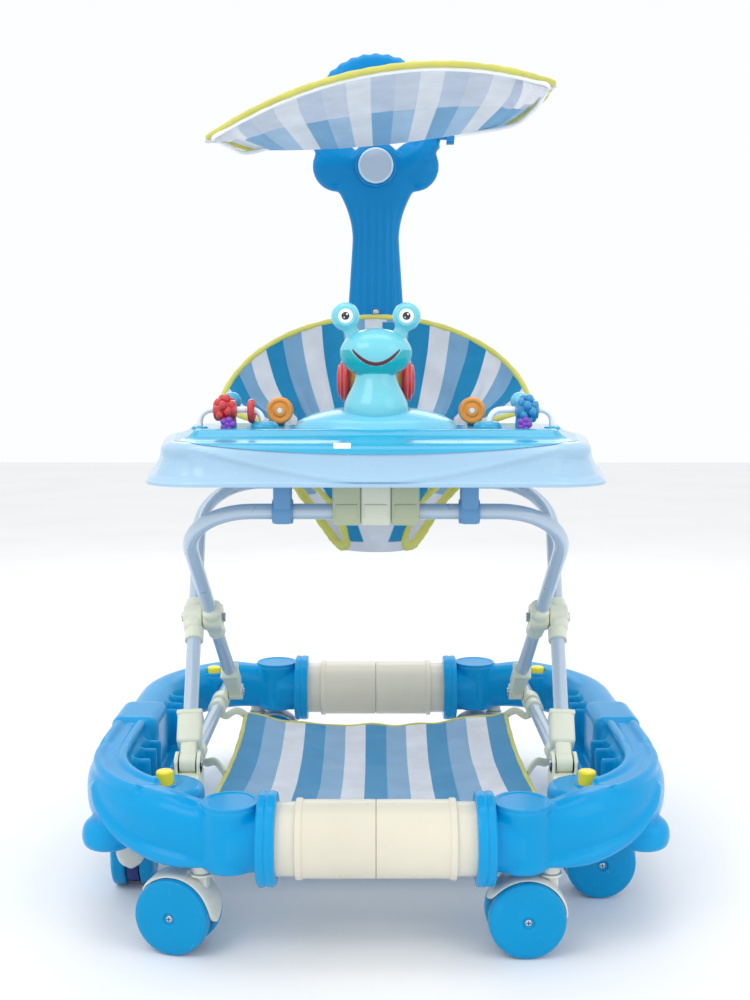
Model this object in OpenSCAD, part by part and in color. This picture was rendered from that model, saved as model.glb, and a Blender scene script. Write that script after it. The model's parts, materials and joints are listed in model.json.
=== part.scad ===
// Baby walker with a play tray, a push handle and a sun canopy.
// Origin: middle of the footprint, on the floor. +X right, -Y front, +Z up.

/* [Base ring] */
// Distance from the middle to the front and rear cross bars
bar_y = 281; // [270:1:290]
// Height of the cross bars' axis
bar_z = 110; // [106:1:112]
// Distance from the middle to the ring's side centreline
ring_x = 280; // [276:1:284]
// Radius of the ring's corners, to the centreline
ring_r = 150; // [145:1:152]
// Width of the ring's section
ring_w = 48; // [44:1:50]
// Height of the ring's section
ring_h = 64; // [60:1:66]
// Height of the ring's section centre
ring_z = 120; // [118:1:122]
// Wall thickness of the moulded shells
wall = 3; // [2:0.5:4]

/* [Casters] */
// Radius of the twin wheels
wheel_r = 37; // [34:1:38]
// Distance from the swivel axis back to the axle
trail = 24; // [20:1:26]
// Width over both wheels of one caster
wheel_pair_w = 48; // [44:1:50]

/* [Folding frame] */
// Outside radius of the bent steel tubes
tube_r = 8; // [7.5:0.5:8]
// Wall of the steel tubes
tube_wall = 1.2; // [1:0.1:1.5]
// Distance from the middle to the leg pivots, front and rear
foot_y = 145; // [145:1:146]
// Height of the leg pivots
foot_z = 140; // [140:1:142]
// Height of the scissor pivot
joint_z = 267; // [265:1:268]
// Length of each leg tube from its foot pivot to its crossbar
leg_len = 408; // [406:1:410]
// Bend radius at the top of the leg tubes
bend_r = 72; // [68:1:74]
// Largest fold angle of the frame, in degrees
fold_max = 17; // [10:1:17]

/* [Tray] */
// Height of the tray's lower edge
tray_z0 = 441; // [440:1:444]
// Height of the tray's deck
tray_z1 = 485; // [483:1:488]
// Radius of the round ends of the seat opening
seat_r = 122; // [120:1:123]
// Half distance between the two round ends of the seat opening
seat_dx = 30; // [28:1:31]

/* [Handle and canopy] */
// Distance from the middle to the handle's parting plane
handle_y = 200; // [198:1:202]
// Height of the grip ring's centre
grip_z = 865; // [860:1:866]
// Outside radius of the grip ring
grip_r = 86; // [82:1:88]
// Half width of the canopy
canopy_w = 196; // [190:1:198]
// Rise of the canopy's front edge from its middle to its right end
canopy_lean = 30; // [0:5:32]

/* [Hidden] */
CORNERS = ["front_left", "front_right", "side_front_left", "side_front_right",
           "side_rear_left", "side_rear_right", "rear_left", "rear_right"];
// Swivel positions of the eight casters and how far each is turned at rest
CASTER_XY = [[-166, -281], [166, -281], [-259, -145], [259, -145],
             [-259, 145], [259, 145], [-166, 281], [166, 281]];
CASTER_YAW = [-16, 2, -86, 4, -75, -95, 180, 8];
BUTTONS = ["front_left", "front_right", "rear_left", "rear_right"];
BUTTON_XY = [[-213, -203], [213, -203], [-219, 228], [219, 228]];
BUTTON_TOP = [151, 151, 153, 153];

$fn = 48;
gap = 0.3;          // clearance between parts that only pass each other
run = 0.05;         // radial clearance of a running fit
past = 1;           // how far a cutting tool reaches past what it cuts
ring_c = [ring_x - ring_r, bar_y - ring_r];
slope = atan2(joint_z - foot_z, foot_y);
cup_x = 138;
cup_r = 28;
cup_z0 = 81;
cup_z1 = 148;
flange_r = 44.5;
flange_x0 = 94;
flange_x1 = 112;
neck_r = 31;        // joint between a flange and its cup
lobe_xy = [260, 210];
lobe_r = 25;
lobe_z0 = 80;
lobe_h = 34;
pod_r = 40;         // round deck under a front button
pod_z0 = 94;
pod_h = 42;
post_r = 12;        // round post under a rear button
saddle_lo = [252, -38, 96];
saddle_hi = [ring_x + ring_w / 2, 46, 158];
boss_r = 14;        // boss that holds a caster's socket
boss_h = 24;
button_r = 9;
button_h = 24;
guide_r = 12;       // tube that guides a button
tube_core_r = 34.5;
sleeve_r = 36.5;
sleeve_end = 76;
swivel_r = 5;
socket_r = 9;
socket_z0 = 78;
socket_z1 = 104;
axle_r = 3;
gap_half = 7;       // half of the gap between a caster's two wheels
leg_a = [198, 210]; // leg centreline X at the foot and at the scissor pivot, outer tube
leg_b = [180, 190];
bolt_r = 3;
rail_x = 200;
rail_z = 128;
crossbar_y = leg_len * cos(slope) - foot_y;
crossbar_z = foot_z + leg_len * sin(slope);
seat_y = 30;
tray_wall = 3;
canopy_clip_x = 94;
canopy_clip_z = 845;
canopy_clip_y = 190;

// ---------------------------------------------------------------- helpers

// Copies the children to the right side and, mirrored, to the left side
module both_sides() {
    children();
    mirror([1, 0, 0]) children();
}

// Cylinder along X, from x0 to x1
module rod_x(x0, x1, r) {
    translate([x0, 0, 0]) rotate([0, 90, 0]) cylinder(h = x1 - x0, r = r);
}

// Cylinder along Y, from y0 to y1
module rod_y(y0, y1, r) {
    translate([0, y0, 0]) rotate([-90, 0, 0]) cylinder(h = y1 - y0, r = r);
}

// Box from one corner to the opposite corner
module block(lo, hi) {
    translate(lo) cube(hi - lo);
}

// Closed skin over a grid of points f(u, v, w): w = 0 is the outer face and w = 1 the inner
module skin(f, nu, nv, u0 = -1, u1 = 1) {
    cols = nu + 1;
    rows = nv + 1;
    pts = [for (w = [0, 1]) for (j = [0:nv]) for (i = [0:nu])
        f(u0 + (u1 - u0) * i / nu, j / nv, w)];
    face_a = [for (j = [0:nv - 1]) for (i = [0:nu - 1])
        [j * cols + i, (j + 1) * cols + i, (j + 1) * cols + i + 1, j * cols + i + 1]];
    off = cols * rows;
    face_b = [for (q = face_a) [q[3] + off, q[2] + off, q[1] + off, q[0] + off]];
    rim = concat([for (i = [0:nu]) i],
                 [for (j = [1:nv]) j * cols + nu],
                 [for (i = [1:nu]) nv * cols + nu - i],
                 [for (j = [1:nv - 1]) (nv - j) * cols]);
    n = len(rim);
    side = [for (k = [0:n - 1]) [rim[k], rim[(k + 1) % n], rim[(k + 1) % n] + off, rim[k] + off]];
    polyhedron(points = pts, faces = concat(face_a, face_b, side), convexity = 6);
}

// Round rod swept along points, with flat ends
module swept_rod(path, r, sides = 8) {
    n = len(path);
    dirs = [for (i = [0:n - 1]) let (d = path[min(i + 1, n - 1)] - path[max(i - 1, 0)]) d / norm(d)];
    pts = [for (i = [0:n - 1]) let (
        side = cross(dirs[i], [0, 0.35, 1]),
        a = side / norm(side),
        b = cross(dirs[i], a))
        for (k = [0:sides - 1]) path[i] + r * (a * cos(360 * k / sides) + b * sin(360 * k / sides))];
    skin_faces = [for (i = [0:n - 2]) for (k = [0:sides - 1])
        [i * sides + k, i * sides + (k + 1) % sides, (i + 1) * sides + (k + 1) % sides, (i + 1) * sides + k]];
    caps = [[for (k = [0:sides - 1]) sides - 1 - k], [for (k = [0:sides - 1]) (n - 1) * sides + k]];
    polyhedron(points = pts, faces = concat(skin_faces, caps), convexity = 6);
}

// ---------------------------------------------------------------- base

// Upright rounded section of the ring, around its own centre
module ring_section(inset) {
    r = ring_w / 2 - inset;
    straight = ring_h / 2 - ring_w / 2;
    for (s = [-1, 1]) translate([0, s * straight]) circle(r);
    square([2 * r, 2 * straight], center = true);
}

// Right half of the ring: two corners, a straight side and two straight ends
module ring_half(inset) {
    for (s = [-1, 1]) {
        translate([ring_c[0], s * ring_c[1], ring_z])
            rotate([0, 0, s > 0 ? 0 : -90])
            rotate_extrude(angle = 90) translate([ring_r, 0]) ring_section(inset);
    }
    translate([ring_x, ring_c[1], ring_z]) rotate([90, 0, 0])
        linear_extrude(2 * ring_c[1]) ring_section(inset);
}

// Places the children at a caster's swivel axis, at height z
module at_socket(i, z) {
    translate([CASTER_XY[i][0], CASTER_XY[i][1], z]) children();
}

// Places the children at a button's axis, at height z
module at_button(i, z) {
    translate([BUTTON_XY[i][0], BUTTON_XY[i][1], z]) children();
}

// Moulded side shell, right side, before it is mirrored for the left
module base_shell() {
    difference() {
        union() {
            difference() {
                union() {
                    ring_half(0);
                    for (s = [-1, 1]) {
                        translate([cup_x, s * bar_y, cup_z0]) cylinder(h = cup_z1 - cup_z0, r = cup_r);
                        translate([0, s * bar_y, bar_z]) rod_x(flange_x0, flange_x1, flange_r);
                        translate([0, s * bar_y, bar_z]) rod_x(flange_x1, cup_x, neck_r);
                        translate([lobe_xy[0], s * lobe_xy[1], lobe_z0]) cylinder(h = lobe_h, r = lobe_r);
                    }
                    at_button(1, pod_z0) cylinder(h = pod_h, r = pod_r);
                    at_button(3, pod_z0 + 2) cylinder(h = BUTTON_TOP[3] - pod_z0 - 10, r = post_r);
                    block(saddle_lo, saddle_hi);
                }
                ring_half(wall);
                for (s = [-1, 1]) {
                    translate([cup_x, s * bar_y, cup_z0 + wall])
                        cylinder(h = cup_z1 - cup_z0 - 2 * wall, r = cup_r - wall);
                    translate([0, s * bar_y, bar_z]) rod_x(flange_x1 - past, cup_x, neck_r - wall);
                }
                at_button(1, pod_z0 + wall) cylinder(h = pod_h - 2 * wall, r = pod_r - wall);
            }
            for (i = [1, 3, 5, 7])
                at_socket(i, socket_z0 + 2) cylinder(h = boss_h, r = boss_r);
            for (i = [1, 3])
                at_button(i, pod_z0 + boss_h) cylinder(h = pod_h - boss_h, r = guide_r);
        }
        for (s = [-1, 1])
            translate([0, s * bar_y, bar_z]) rod_x(flange_x0 - past, flange_x1 - wall, tube_core_r);
        for (i = [1, 3, 5, 7])
            at_socket(i, socket_z0) cylinder(h = socket_z1 - socket_z0 + 4, r = socket_r);
        for (i = [1, 3])
            at_button(i, BUTTON_TOP[i] - button_h - 10) cylinder(h = 60, r = button_r + 4 * run);
        translate([rail_x, 0, rail_z]) rod_y(225, rail_y1 + 6, tube_r);
    }
}

module base_shell_right() { color("deepskyblue") base_shell(); }

module base_shell_left() { color("deepskyblue") mirror([1, 0, 0]) base_shell(); }

// Core tube of a cross bar, plugged into both flanges
module cross_tube(s) {
    translate([0, s * bar_y, bar_z]) difference() {
        rod_x(-flange_x1 + wall, flange_x1 - wall, tube_core_r);
        rod_x(-flange_x1, flange_x1, tube_core_r - wall);
    }
}

module front_cross_tube() { color("ivory") cross_tube(-1); }

module rear_cross_tube() { color("ivory") cross_tube(1); }

// Half-length sleeves, two on each cross bar, that meet in its middle
module bar_sleeves() {
    color("ivory") for (s = [-1, 1]) translate([0, s * bar_y, bar_z]) both_sides() difference() {
        union() {
            rod_x(gap, sleeve_end, sleeve_r);
            rod_x(sleeve_end - 5, sleeve_end, sleeve_r + 1.5);
        }
        rod_x(-past, sleeve_end + past, tube_core_r);
    }
}

// ---------------------------------------------------------------- casters

module caster_sockets() {
    color("whitesmoke") for (i = [0:7]) at_socket(i, socket_z0) difference() {
        cylinder(h = socket_z1 - socket_z0, r = socket_r);
        translate([0, 0, -past]) cylinder(h = socket_z1 - socket_z0 + 2 * past, r = swivel_r + run);
    }
}

// Places a caster's own frame: swivel axis at the origin, wheels trailing along -X
module at_caster(i) {
    at_socket(i, 0) rotate([0, 0, CASTER_YAW[i]]) children();
}

// Stem, web between the wheels and hood over them
module caster_fork(i) {
    web = gap_half - 1;
    hood_in = wheel_r + 1;
    hood_out = wheel_r + 3.2;
    color("ivory") at_caster(i) difference() {
        union() {
            translate([0, 0, wheel_r + 10]) cylinder(h = socket_z0 - wheel_r - 10.5, r = web);
            translate([0, 0, socket_z0 - 3.2]) cylinder(h = 2.7, r = 11);
            translate([0, 0, 60]) cylinder(h = socket_z1 - 61, r = swivel_r);
            translate([-trail, 0, wheel_r]) {
                rod_y(-web, web, wheel_r - 3);
                difference() {
                    rod_y(-13, 13, hood_out);
                    rod_y(-14, 14, hood_in);
                    block([-60, -20, -60], [0, 20, 14]);
                    block([-1, -20, -60], [60, 20, -4]);
                }
                block([0, -web, 14], [hood_out - 8, web, hood_in - 6]);
            }
        }
        translate([-trail, 0, wheel_r]) rod_y(-20, 20, axle_r + run);
    }
}

// Twin wheels on their steel axle
module caster_wheels(i) {
    half = wheel_pair_w / 2;
    color("dodgerblue") at_caster(i) translate([-trail, 0, wheel_r]) {
        difference() {
            union() for (s = [0, 180]) rotate([0, 0, s]) {
                rod_y(gap_half, half - 3, wheel_r);
                translate([0, half - 3, 0]) rotate([-90, 0, 0])
                    cylinder(h = 3, r1 = wheel_r, r2 = wheel_r - 6, $fn = 96);
            }
            for (s = [0, 180]) rotate([0, 0, s]) rod_y(half - 2, half + 1, 5);
        }
        rod_y(-half + 1.5, half - 1.5, axle_r);
    }
}

// ---------------------------------------------------------------- buttons

module button(i) {
    chamfer = 2;
    color("gold") at_button(i, BUTTON_TOP[i] - button_h) {
        cylinder(h = button_h - chamfer, r = button_r);
        translate([0, 0, button_h - chamfer]) cylinder(h = chamfer, r1 = button_r, r2 = button_r - 1.5);
    }
}

// ---------------------------------------------------------------- mat and rails

rail_y0 = -135;
rail_y1 = 240;
clip_r = 11;            // collars that clip round a rail
bracket_x = [184.5, 211.5];
cheek = 3.8;            // thickness of a foot bracket's two cheeks
pin_head = 3;
head_r = 5;

// Base block and two cheeks that hold a front leg's pin
module foot_brackets() {
    cheek_z = [131, 151];
    color("ivory") both_sides() difference() {
        union() {
            block([bracket_x[0], -foot_y - 27, 108], [bracket_x[1], -foot_y + 25, cheek_z[0]]);
            for (x = [bracket_x[0], bracket_x[1] - cheek])
                block([x, -foot_y - 11, cheek_z[0]], [x + cheek, -foot_y + 11, cheek_z[1]]);
        }
        at_button(1, pod_z0 - 4) cylinder(h = 60, r = pod_r);
        translate([rail_x, 0, rail_z]) rod_y(rail_y0, rail_y0 + 25, tube_r);
        translate([0, -foot_y, foot_z]) {
            rod_x(bracket_x[0] - 5, bracket_x[1] + 5, bolt_r);
            rod_x(bracket_x[0] + cheek, bracket_x[1] - cheek, 10.5);
        }
    }
}

module foot_pins() {
    color("silver") both_sides() translate([0, -foot_y, foot_z]) {
        rod_x(bracket_x[0] - 1.5, bracket_x[1] + 1.5, bolt_r);
        rod_x(bracket_x[0] - pin_head, bracket_x[0], head_r);
        rod_x(bracket_x[1], bracket_x[1] + pin_head, head_r);
    }
}

module side_rails() {
    color("lightsteelblue") both_sides() translate([rail_x, 0, rail_z]) difference() {
        rod_y(rail_y0, rail_y1, tube_r);
        rod_y(rail_y0 - past, rail_y1 + past, tube_r - tube_wall);
    }
}

// Collars on the rails, each with an arm down to a corner of the mat
module mat_hooks() {
    half = 8;
    color("ivory") both_sides() for (y = [-70, 112]) difference() {
        union() {
            translate([rail_x, 0, rail_z]) rod_y(y - half, y + half, clip_r);
            translate([179, y, 121]) rotate([0, -30, 0]) block([-12, -5, -2], [12, 5, 2]);
        }
        translate([rail_x, 0, rail_z]) rod_y(y - half - past, y + half + past, tube_r);
    }
}

mat_y0 = -182;
mat_y1 = 142;
mat_half = 168;
mat_z = 112;
mat_sag = 26;
mat_fn = function (u, v, w) [
    mat_half * u * (1 - 0.035 * sin(180 * v)),
    mat_y0 + (mat_y1 - mat_y0) * v - (v > 0.5 ? 1 : -0.4) * 14 * (1 - u * u) * abs(2 * v - 1),
    mat_z - mat_sag * (1 - u * u) * (0.55 + 0.45 * sin(180 * v)) - 3 * w];

module foot_mat() { color("cornflowerblue") skin(mat_fn, 16, 12); }

// ---------------------------------------------------------------- folding frame

// Lean of a leg tube in its own plane
function lean_of(leg) = atan2(leg[1] - leg[0], norm([foot_y, joint_z - foot_z]));

// Right half of a bent tube's centreline, as pairs of a point and the direction of travel
function half_line(leg) = let (
    lean = lean_of(leg),
    arc_y = leg_len - bend_r,
    tangent_y = arc_y - bend_r * sin(lean),
    arc_x = leg[0] + tangent_y * tan(lean) - bend_r * cos(lean))
    concat([[[leg[0] + 8 * sin(lean), 8 * cos(lean)], [sin(lean), cos(lean)]]],
           [for (k = [0:10]) let (t = -lean + (90 + lean) * k / 10)
               [[arc_x + bend_r * cos(t), arc_y + bend_r * sin(t)], [-sin(t), cos(t)]]]);

// Hollow tube along a flat centreline of point and direction pairs
module flat_tube(line, r_out, r_in, sides = 24) {
    n = len(line);
    pts = [for (r = [r_out, r_in]) for (q = line) for (k = [0:sides - 1])
        let (c = r * cos(360 * k / sides), h = r * sin(360 * k / sides))
        [q[0][0] + c * q[1][1], q[0][1] - c * q[1][0], h]];
    off = n * sides;
    skins = [for (i = [0:n - 2]) for (k = [0:sides - 1]) let (m = (k + 1) % sides)
        each [[i * sides + k, (i + 1) * sides + k, (i + 1) * sides + m, i * sides + m],
              [off + i * sides + k, off + i * sides + m, off + (i + 1) * sides + m, off + (i + 1) * sides + k]]];
    ends = [for (k = [0:sides - 1]) let (m = (k + 1) % sides, e = (n - 1) * sides)
        each [[k, m, off + m, off + k], [e + m, e + k, off + e + k, off + e + m]]];
    polyhedron(points = pts, faces = concat(skins, ends), convexity = 8);
}

// One bent tube in its own plane: X across, Y along the legs from the foot pivots
module bent_tube(leg) {
    right = half_line(leg);
    left = [for (k = [len(right) - 1:-1:0]) let (q = right[k]) [[-q[0][0], q[0][1]], [q[1][0], -q[1][1]]]];
    flat_tube(concat(right, left), tube_r, tube_r - tube_wall);
}

// Lays a tube's plane on the slope of frame A, which rises from the front feet to the back
module on_slope_a() {
    translate([0, -foot_y, foot_z]) rotate([slope, 0, 0]) children();
}

module on_slope_b() {
    mirror([0, 1, 0]) on_slope_a() children();
}

// Hole for the scissor bolts, through both legs
module bolt_hole(r) {
    both_sides() translate([0, 0, joint_z]) rod_x(160, 240, r);
}

module frame_tube_a() {
    color("lightsteelblue") difference() {
        on_slope_a() bent_tube(leg_a);
        bolt_hole(bolt_r + 2 * run);
    }
}

module frame_tube_b() {
    color("lightsteelblue") difference() {
        on_slope_b() bent_tube(leg_b);
        bolt_hole(bolt_r + 2 * run);
    }
}

// Two-part cream collar around a leg at the scissor pivot
module joint_sleeve(leg, x0, x1, hole) {
    at = norm([foot_y, joint_z - foot_z]);
    both_sides() difference() {
        translate([0, at, 0]) {
            rod_x(x0, x1, 15);
            block([x0, -22, -12], [x1, 24, 12]);
        }
        translate([leg[0], 0, 0]) rotate([0, 0, -lean_of(leg)]) rod_y(at - 60, at + 60, tube_r);
        translate([0, at, 0]) rod_x(x0 - past, x1 + past, hole);
    }
}

module joint_sleeves_a() {
    color("ivory") on_slope_a() joint_sleeve(leg_a, 200.3, 223, bolt_r);
}

module joint_sleeves_b() {
    color("ivory") on_slope_b() joint_sleeve(leg_b, 177, 199.7, bolt_r + run);
}

module joint_bolts() {
    color("silver") both_sides() translate([0, 0, joint_z]) {
        rod_x(175, 224, bolt_r);
        rod_x(173, 176.7, 6);
        rod_x(223, 226, 6);
    }
}

// Shoe on the lower end of a leg: an eye for the foot pin and a boot around the tube
module shoe(leg, boot, depth, eye, pin) {
    lean = lean_of(leg);
    both_sides() difference() {
        union() {
            translate([leg[0], 0, 0]) rod_x(-eye, eye, 10);
            translate([leg[0], 0, 0]) block([-eye, 0, -7], [eye, 21, 7]);
            translate([leg[0], 0, 0]) rotate([0, 0, -lean])
                block([-boot / 2, 20, -depth / 2], [boot / 2, 62, depth / 2]);
        }
        translate([leg[0], 0, 0]) rotate([0, 0, -lean]) rod_y(8, 90, tube_r);
        translate([leg[0], 0, 0]) rod_x(-20, 20, pin);
    }
}

module front_shoes() {
    color("ivory") on_slope_a() shoe(leg_a, 26, 22, 9, bolt_r + run);
}

module rear_shoes() {
    color("ivory") on_slope_b() shoe(leg_b, 20, 20, 8.7, bolt_r + run);
}

// Sleeve that runs on the side rail and carries the rear leg's pin
module slider() {
    difference() {
        union() {
            translate([rail_x, 0, rail_z]) rod_y(foot_y - 11, foot_y + 11, clip_r);
            block([189.2, foot_y - 9, rail_z - 4], [194, foot_y + 9, foot_z + 9]);
        }
        translate([rail_x, 0, rail_z]) rod_y(foot_y - 20, foot_y + 20, tube_r + run);
    }
    translate([0, foot_y, foot_z]) {
        rod_x(171.5, 190, bolt_r);
        rod_x(168.5, 171, head_r);
    }
}

module slider_right() { color("ivory") slider(); }

module slider_left() { color("ivory") mirror([1, 0, 0]) slider(); }

// ---------------------------------------------------------------- tray

// Plan outline of the tray, set in from its lower edge by d
module tray_outline(d) {
    hull() {
        for (s = [-1, 1]) {
            translate([s * 172, -188]) circle(56 - d, $fn = 64);
            translate([s * 150, -30]) circle(100 - d, $fn = 64);
            translate([s * 110, 165]) circle(82 - d, $fn = 64);
        }
    }
}

// Shape of the seat opening, grown by d
module seat_opening(d) {
    for (s = [-1, 1]) translate([s * seat_dx, seat_y]) circle(seat_r + d, $fn = 96);
    translate([0, seat_y]) square([2 * seat_dx, 2 * (seat_r + d)], center = true);
}

// Solid form of the tray, without its hollow
module tray_form(d, z1) {
    hull() {
        translate([0, 0, tray_z0]) linear_extrude(4) tray_outline(d);
        translate([0, 0, z1 - 16]) linear_extrude(2) tray_outline(d + 13);
        translate([0, 0, z1 - 2]) linear_extrude(2) tray_outline(d + 31);
    }
}

module tray_shell() {
    color("powderblue") difference() {
        union() {
            difference() {
                tray_form(0, tray_z1);
                translate([0, 0, -1]) tray_form(tray_wall, tray_z1 - tray_wall + 1);
            }
            translate([0, 0, tray_z0 + 2]) linear_extrude(tray_z1 - tray_z0 - 3) seat_opening(tray_wall);
        }
        translate([0, 0, tray_z0 - past]) linear_extrude(tray_z1 - tray_z0 + 2 * past) seat_opening(0);
    }
}

module tray_clamp() {
    color("beige") difference() {
        union() {
            block([-45, -crossbar_y - 16, crossbar_z - 13], [45, -crossbar_y + 16, tray_z0]);
            block([-30, -crossbar_y - 12, tray_z0], [30, -crossbar_y + 12, tray_z1 - tray_wall]);
        }
        translate([0, -crossbar_y, crossbar_z]) rod_x(-60, 60, tube_r + run);
        for (s = [-1, 1]) block([s * 18 - 1.5, -crossbar_y - 20, crossbar_z - 16],
                                [s * 18 + 1.5, -crossbar_y - 13, tray_z0 - 8]);
    }
}

module tray_hooks() {
    color("steelblue") both_sides() difference() {
        block([86, -crossbar_y - 12, crossbar_z - 12], [104, -crossbar_y + 12, tray_z1 - tray_wall]);
        translate([0, -crossbar_y, crossbar_z]) rod_x(80, 110, tube_r + run);
    }
}

// Slotted plates in which the rear crossbar runs as the frame folds
module slot_brackets() {
    slide = 2 * (leg_len - norm([foot_y, joint_z - foot_z])) * (cos(slope - fold_max) - cos(slope));
    slot_r = tube_r + gap;
    color("steelblue") both_sides() difference() {
        union() {
            block([94, 148, crossbar_z - 14], [100, 204, tray_z1 - tray_wall]);
            block([94, 148, crossbar_z - 14], [100, crossbar_y + slide + 14, tray_z0 - 6]);
        }
        translate([0, 0, crossbar_z]) {
            translate([0, crossbar_y, 0]) rod_x(90, 110, slot_r);
            translate([0, crossbar_y + slide, 0]) rod_x(90, 110, slot_r);
            block([90, crossbar_y, -slot_r], [110, crossbar_y + slide, slot_r]);
        }
    }
}

// ---------------------------------------------------------------- toys

toy_y = -150;
deck_h = 9;             // thickness of the toy tray's deck
mound_z = 507;          // top of the mound under the snail
orange_x = 101;
orange_y = -110;
orange_z = 510;

// Long low mound in the middle of the deck
module mound() {
    hull() for (s = [-1, 1]) {
        translate([s * 33, toy_y + 4, tray_z1 + 8]) cylinder(h = 1, r = 50);
        translate([s * 20, toy_y + 4, mound_z - 1]) cylinder(h = 1, r = 38);
    }
}

module toy_tray() {
    color("turquoise") difference() {
        union() {
            translate([0, 0, tray_z1]) intersection() {
                linear_extrude(deck_h) difference() {
                    tray_outline(48);
                    seat_opening(8);
                }
                block([-230, -300, -past], [230, -40, deck_h + past]);
            }
            mound();
            both_sides() {
                translate([114, toy_y, tray_z1 + 8]) cylinder(h = 8, r1 = 15, r2 = 9);
                block([orange_x - 4, orange_y + 6.5, tray_z1 + 8], [orange_x + 4, orange_y + 12, orange_z + 5]);
                translate([orange_x, 0, orange_z]) rod_y(orange_y - 5, orange_y + 9, axle_r);
            }
        }
        translate([0, 0, tray_z1 - past]) linear_extrude(60) seat_opening(8);
    }
}

shell_y = -95;
shell_z = 541;
shell_r = 28;
shell_pin_r = 4;
head_z = 570;
stalk_half = 11;        // half width of the arm that carries the shell

// Neck, head and eyes of the snail, with the arm and boss for its shell
module snail_body() {
    foot_h = 14;
    color("mediumturquoise") difference() {
        union() {
            translate([0, toy_y, mound_z]) cylinder(h = foot_h, r1 = 34, r2 = 31);
            translate([0, toy_y, mound_z + foot_h]) cylinder(h = 40, r1 = 31, r2 = 24);
            translate([0, toy_y, head_z]) sphere(34);
            for (s = [-1, 1]) {
                translate([s * 24, toy_y, head_z]) rotate([0, s * 12, 0]) cylinder(h = 28, r = 8);
                translate([s * 31, toy_y, head_z + 36]) sphere(15);
            }
            block([-stalk_half, toy_y, mound_z], [stalk_half, shell_y - 8, shell_z + 2]);
            block([-stalk_half, toy_y, mound_z], [stalk_half, shell_y + 10, shell_z - 8]);
            translate([0, shell_y, shell_z]) rod_x(-stalk_half, stalk_half, 12);
        }
        translate([0, shell_y, shell_z]) rod_x(-stalk_half - past, stalk_half + past, shell_pin_r + run);
    }
}

// Two domed discs on one axle
module snail_shell() {
    disc_x = stalk_half + 1;
    color("firebrick") translate([0, shell_y, shell_z]) {
        rod_x(-30, 30, shell_pin_r);
        both_sides() translate([disc_x, 0, 0]) rotate([0, 90, 0]) {
            cylinder(h = 12, r = shell_r);
            translate([0, 0, 12]) cylinder(h = 10, r1 = shell_r, r2 = 19);
            translate([0, 0, 22]) cylinder(h = 7, r1 = 19, r2 = 8);
        }
    }
}

arc_x0 = 116;
arc_x1 = 180;
arc_y = -150;
arc_r = 3.2;
arc_bend = 12;
arc_z = tray_z1 + 27;
bead_x = 154;

// White staple-shaped rods that carry the beads, one at each side
module toy_arcs() {
    base = tray_z1 + deck_h;
    color("white") both_sides() translate([0, arc_y, 0]) {
        translate([0, 0, arc_z]) rod_x(arc_x0 + arc_bend, arc_x1 - arc_bend, arc_r);
        translate([arc_x0 + arc_bend, 0, arc_z - arc_bend]) rotate([90, 0, 0]) rotate([0, 0, 90])
            rotate_extrude(angle = 90) translate([arc_bend, 0]) circle(arc_r);
        translate([arc_x1 - arc_bend, 0, arc_z - arc_bend]) rotate([90, 0, 0])
            rotate_extrude(angle = 90) translate([arc_bend, 0]) circle(arc_r);
        for (x = [arc_x0, arc_x1])
            translate([x, 0, base]) cylinder(h = arc_z - arc_bend - base, r = arc_r);
    }
}

// Lobed bead on the straight run of an arc
module star_bead() {
    difference() {
        union() {
            rod_x(-13, 13, 12);
            for (a = [0:60:300]) rotate([a, 0, 0]) translate([0, 12, 0]) rod_x(-11, 11, 4.8);
        }
        rod_x(-14, 14, arc_r + run);
    }
}

module star_bead_right() {
    color("deepskyblue") translate([bead_x, arc_y, arc_z]) star_bead();
}

module star_bead_left() {
    color("crimson") translate([-bead_x, arc_y, arc_z]) star_bead();
}

// Round spinning toy on a pin
module orange_toy(side) {
    color("orange") translate([side * orange_x, 0, orange_z]) difference() {
        rod_y(orange_y - 5, orange_y + 5.5, 14);
        rod_y(orange_y - 6, orange_y + 7, axle_r + run);
    }
}

// ---------------------------------------------------------------- seat

seat_back_z0 = 450;
seat_back_deck = tray_z1 + 6;
seat_back_fn = function (u, v, w) let (
    turn = 80 * u,
    lift = max(0, (v - 0.25) / 0.75),
    z_top = 616 - 124 * (1 - cos(turn)),
    r = 1 - w * 0.055,
    low = [141 * sin(turn) * r, seat_y + 113 * cos(turn) * r],
    high = [193 * sin(turn) * r, 138 * r - 80 * (1 - cos(turn))],
    z = lift > 0 ? seat_back_deck + lift * (z_top - seat_back_deck)
                 : seat_back_z0 + (v / 0.25) * (seat_back_deck - seat_back_z0))
    concat(low + (high - low) * pow(lift, 0.8), [z]);

module seat_back() { color("steelblue") skin(seat_back_fn, 24, 8); }

sling_z0 = 346;
sling_top = 446;

// Solid form of the sling below its flange, shrunk by d
module sling_form(d) {
    hull() {
        for (s = [-1, 1]) translate([s * 20, 22, sling_top - 8 + d]) cylinder(h = 8, r = 88 - d, $fn = 24);
        translate([0, 14, sling_z0 + d]) cylinder(h = 4, r = 44 - d, $fn = 24);
    }
}

// Hole for a leg, through the front of the sling
module sling_leg(s) {
    translate([s * 56, -20, 396]) rotate([80, 0, s * 24]) translate([0, 0, -13]) cylinder(h = 173, r = 27);
}

module seat_sling() {
    color("steelblue") difference() {
        union() {
            sling_form(0);
            translate([0, 0, sling_top - 4]) linear_extrude(4) seat_opening(-5);
        }
        sling_form(4);
        for (s = [-1, 1]) sling_leg(s);
    }
}

// ---------------------------------------------------------------- handle

// Half width of the handle's post at height z
function post_half(z) = z < 718 ? 30 + (718 - z) * 0.067 : 30 + 0.0048 * pow(z - 718, 2);

post_z0 = tray_z1;
hub_z = 809;
hub_r = 32;

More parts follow.
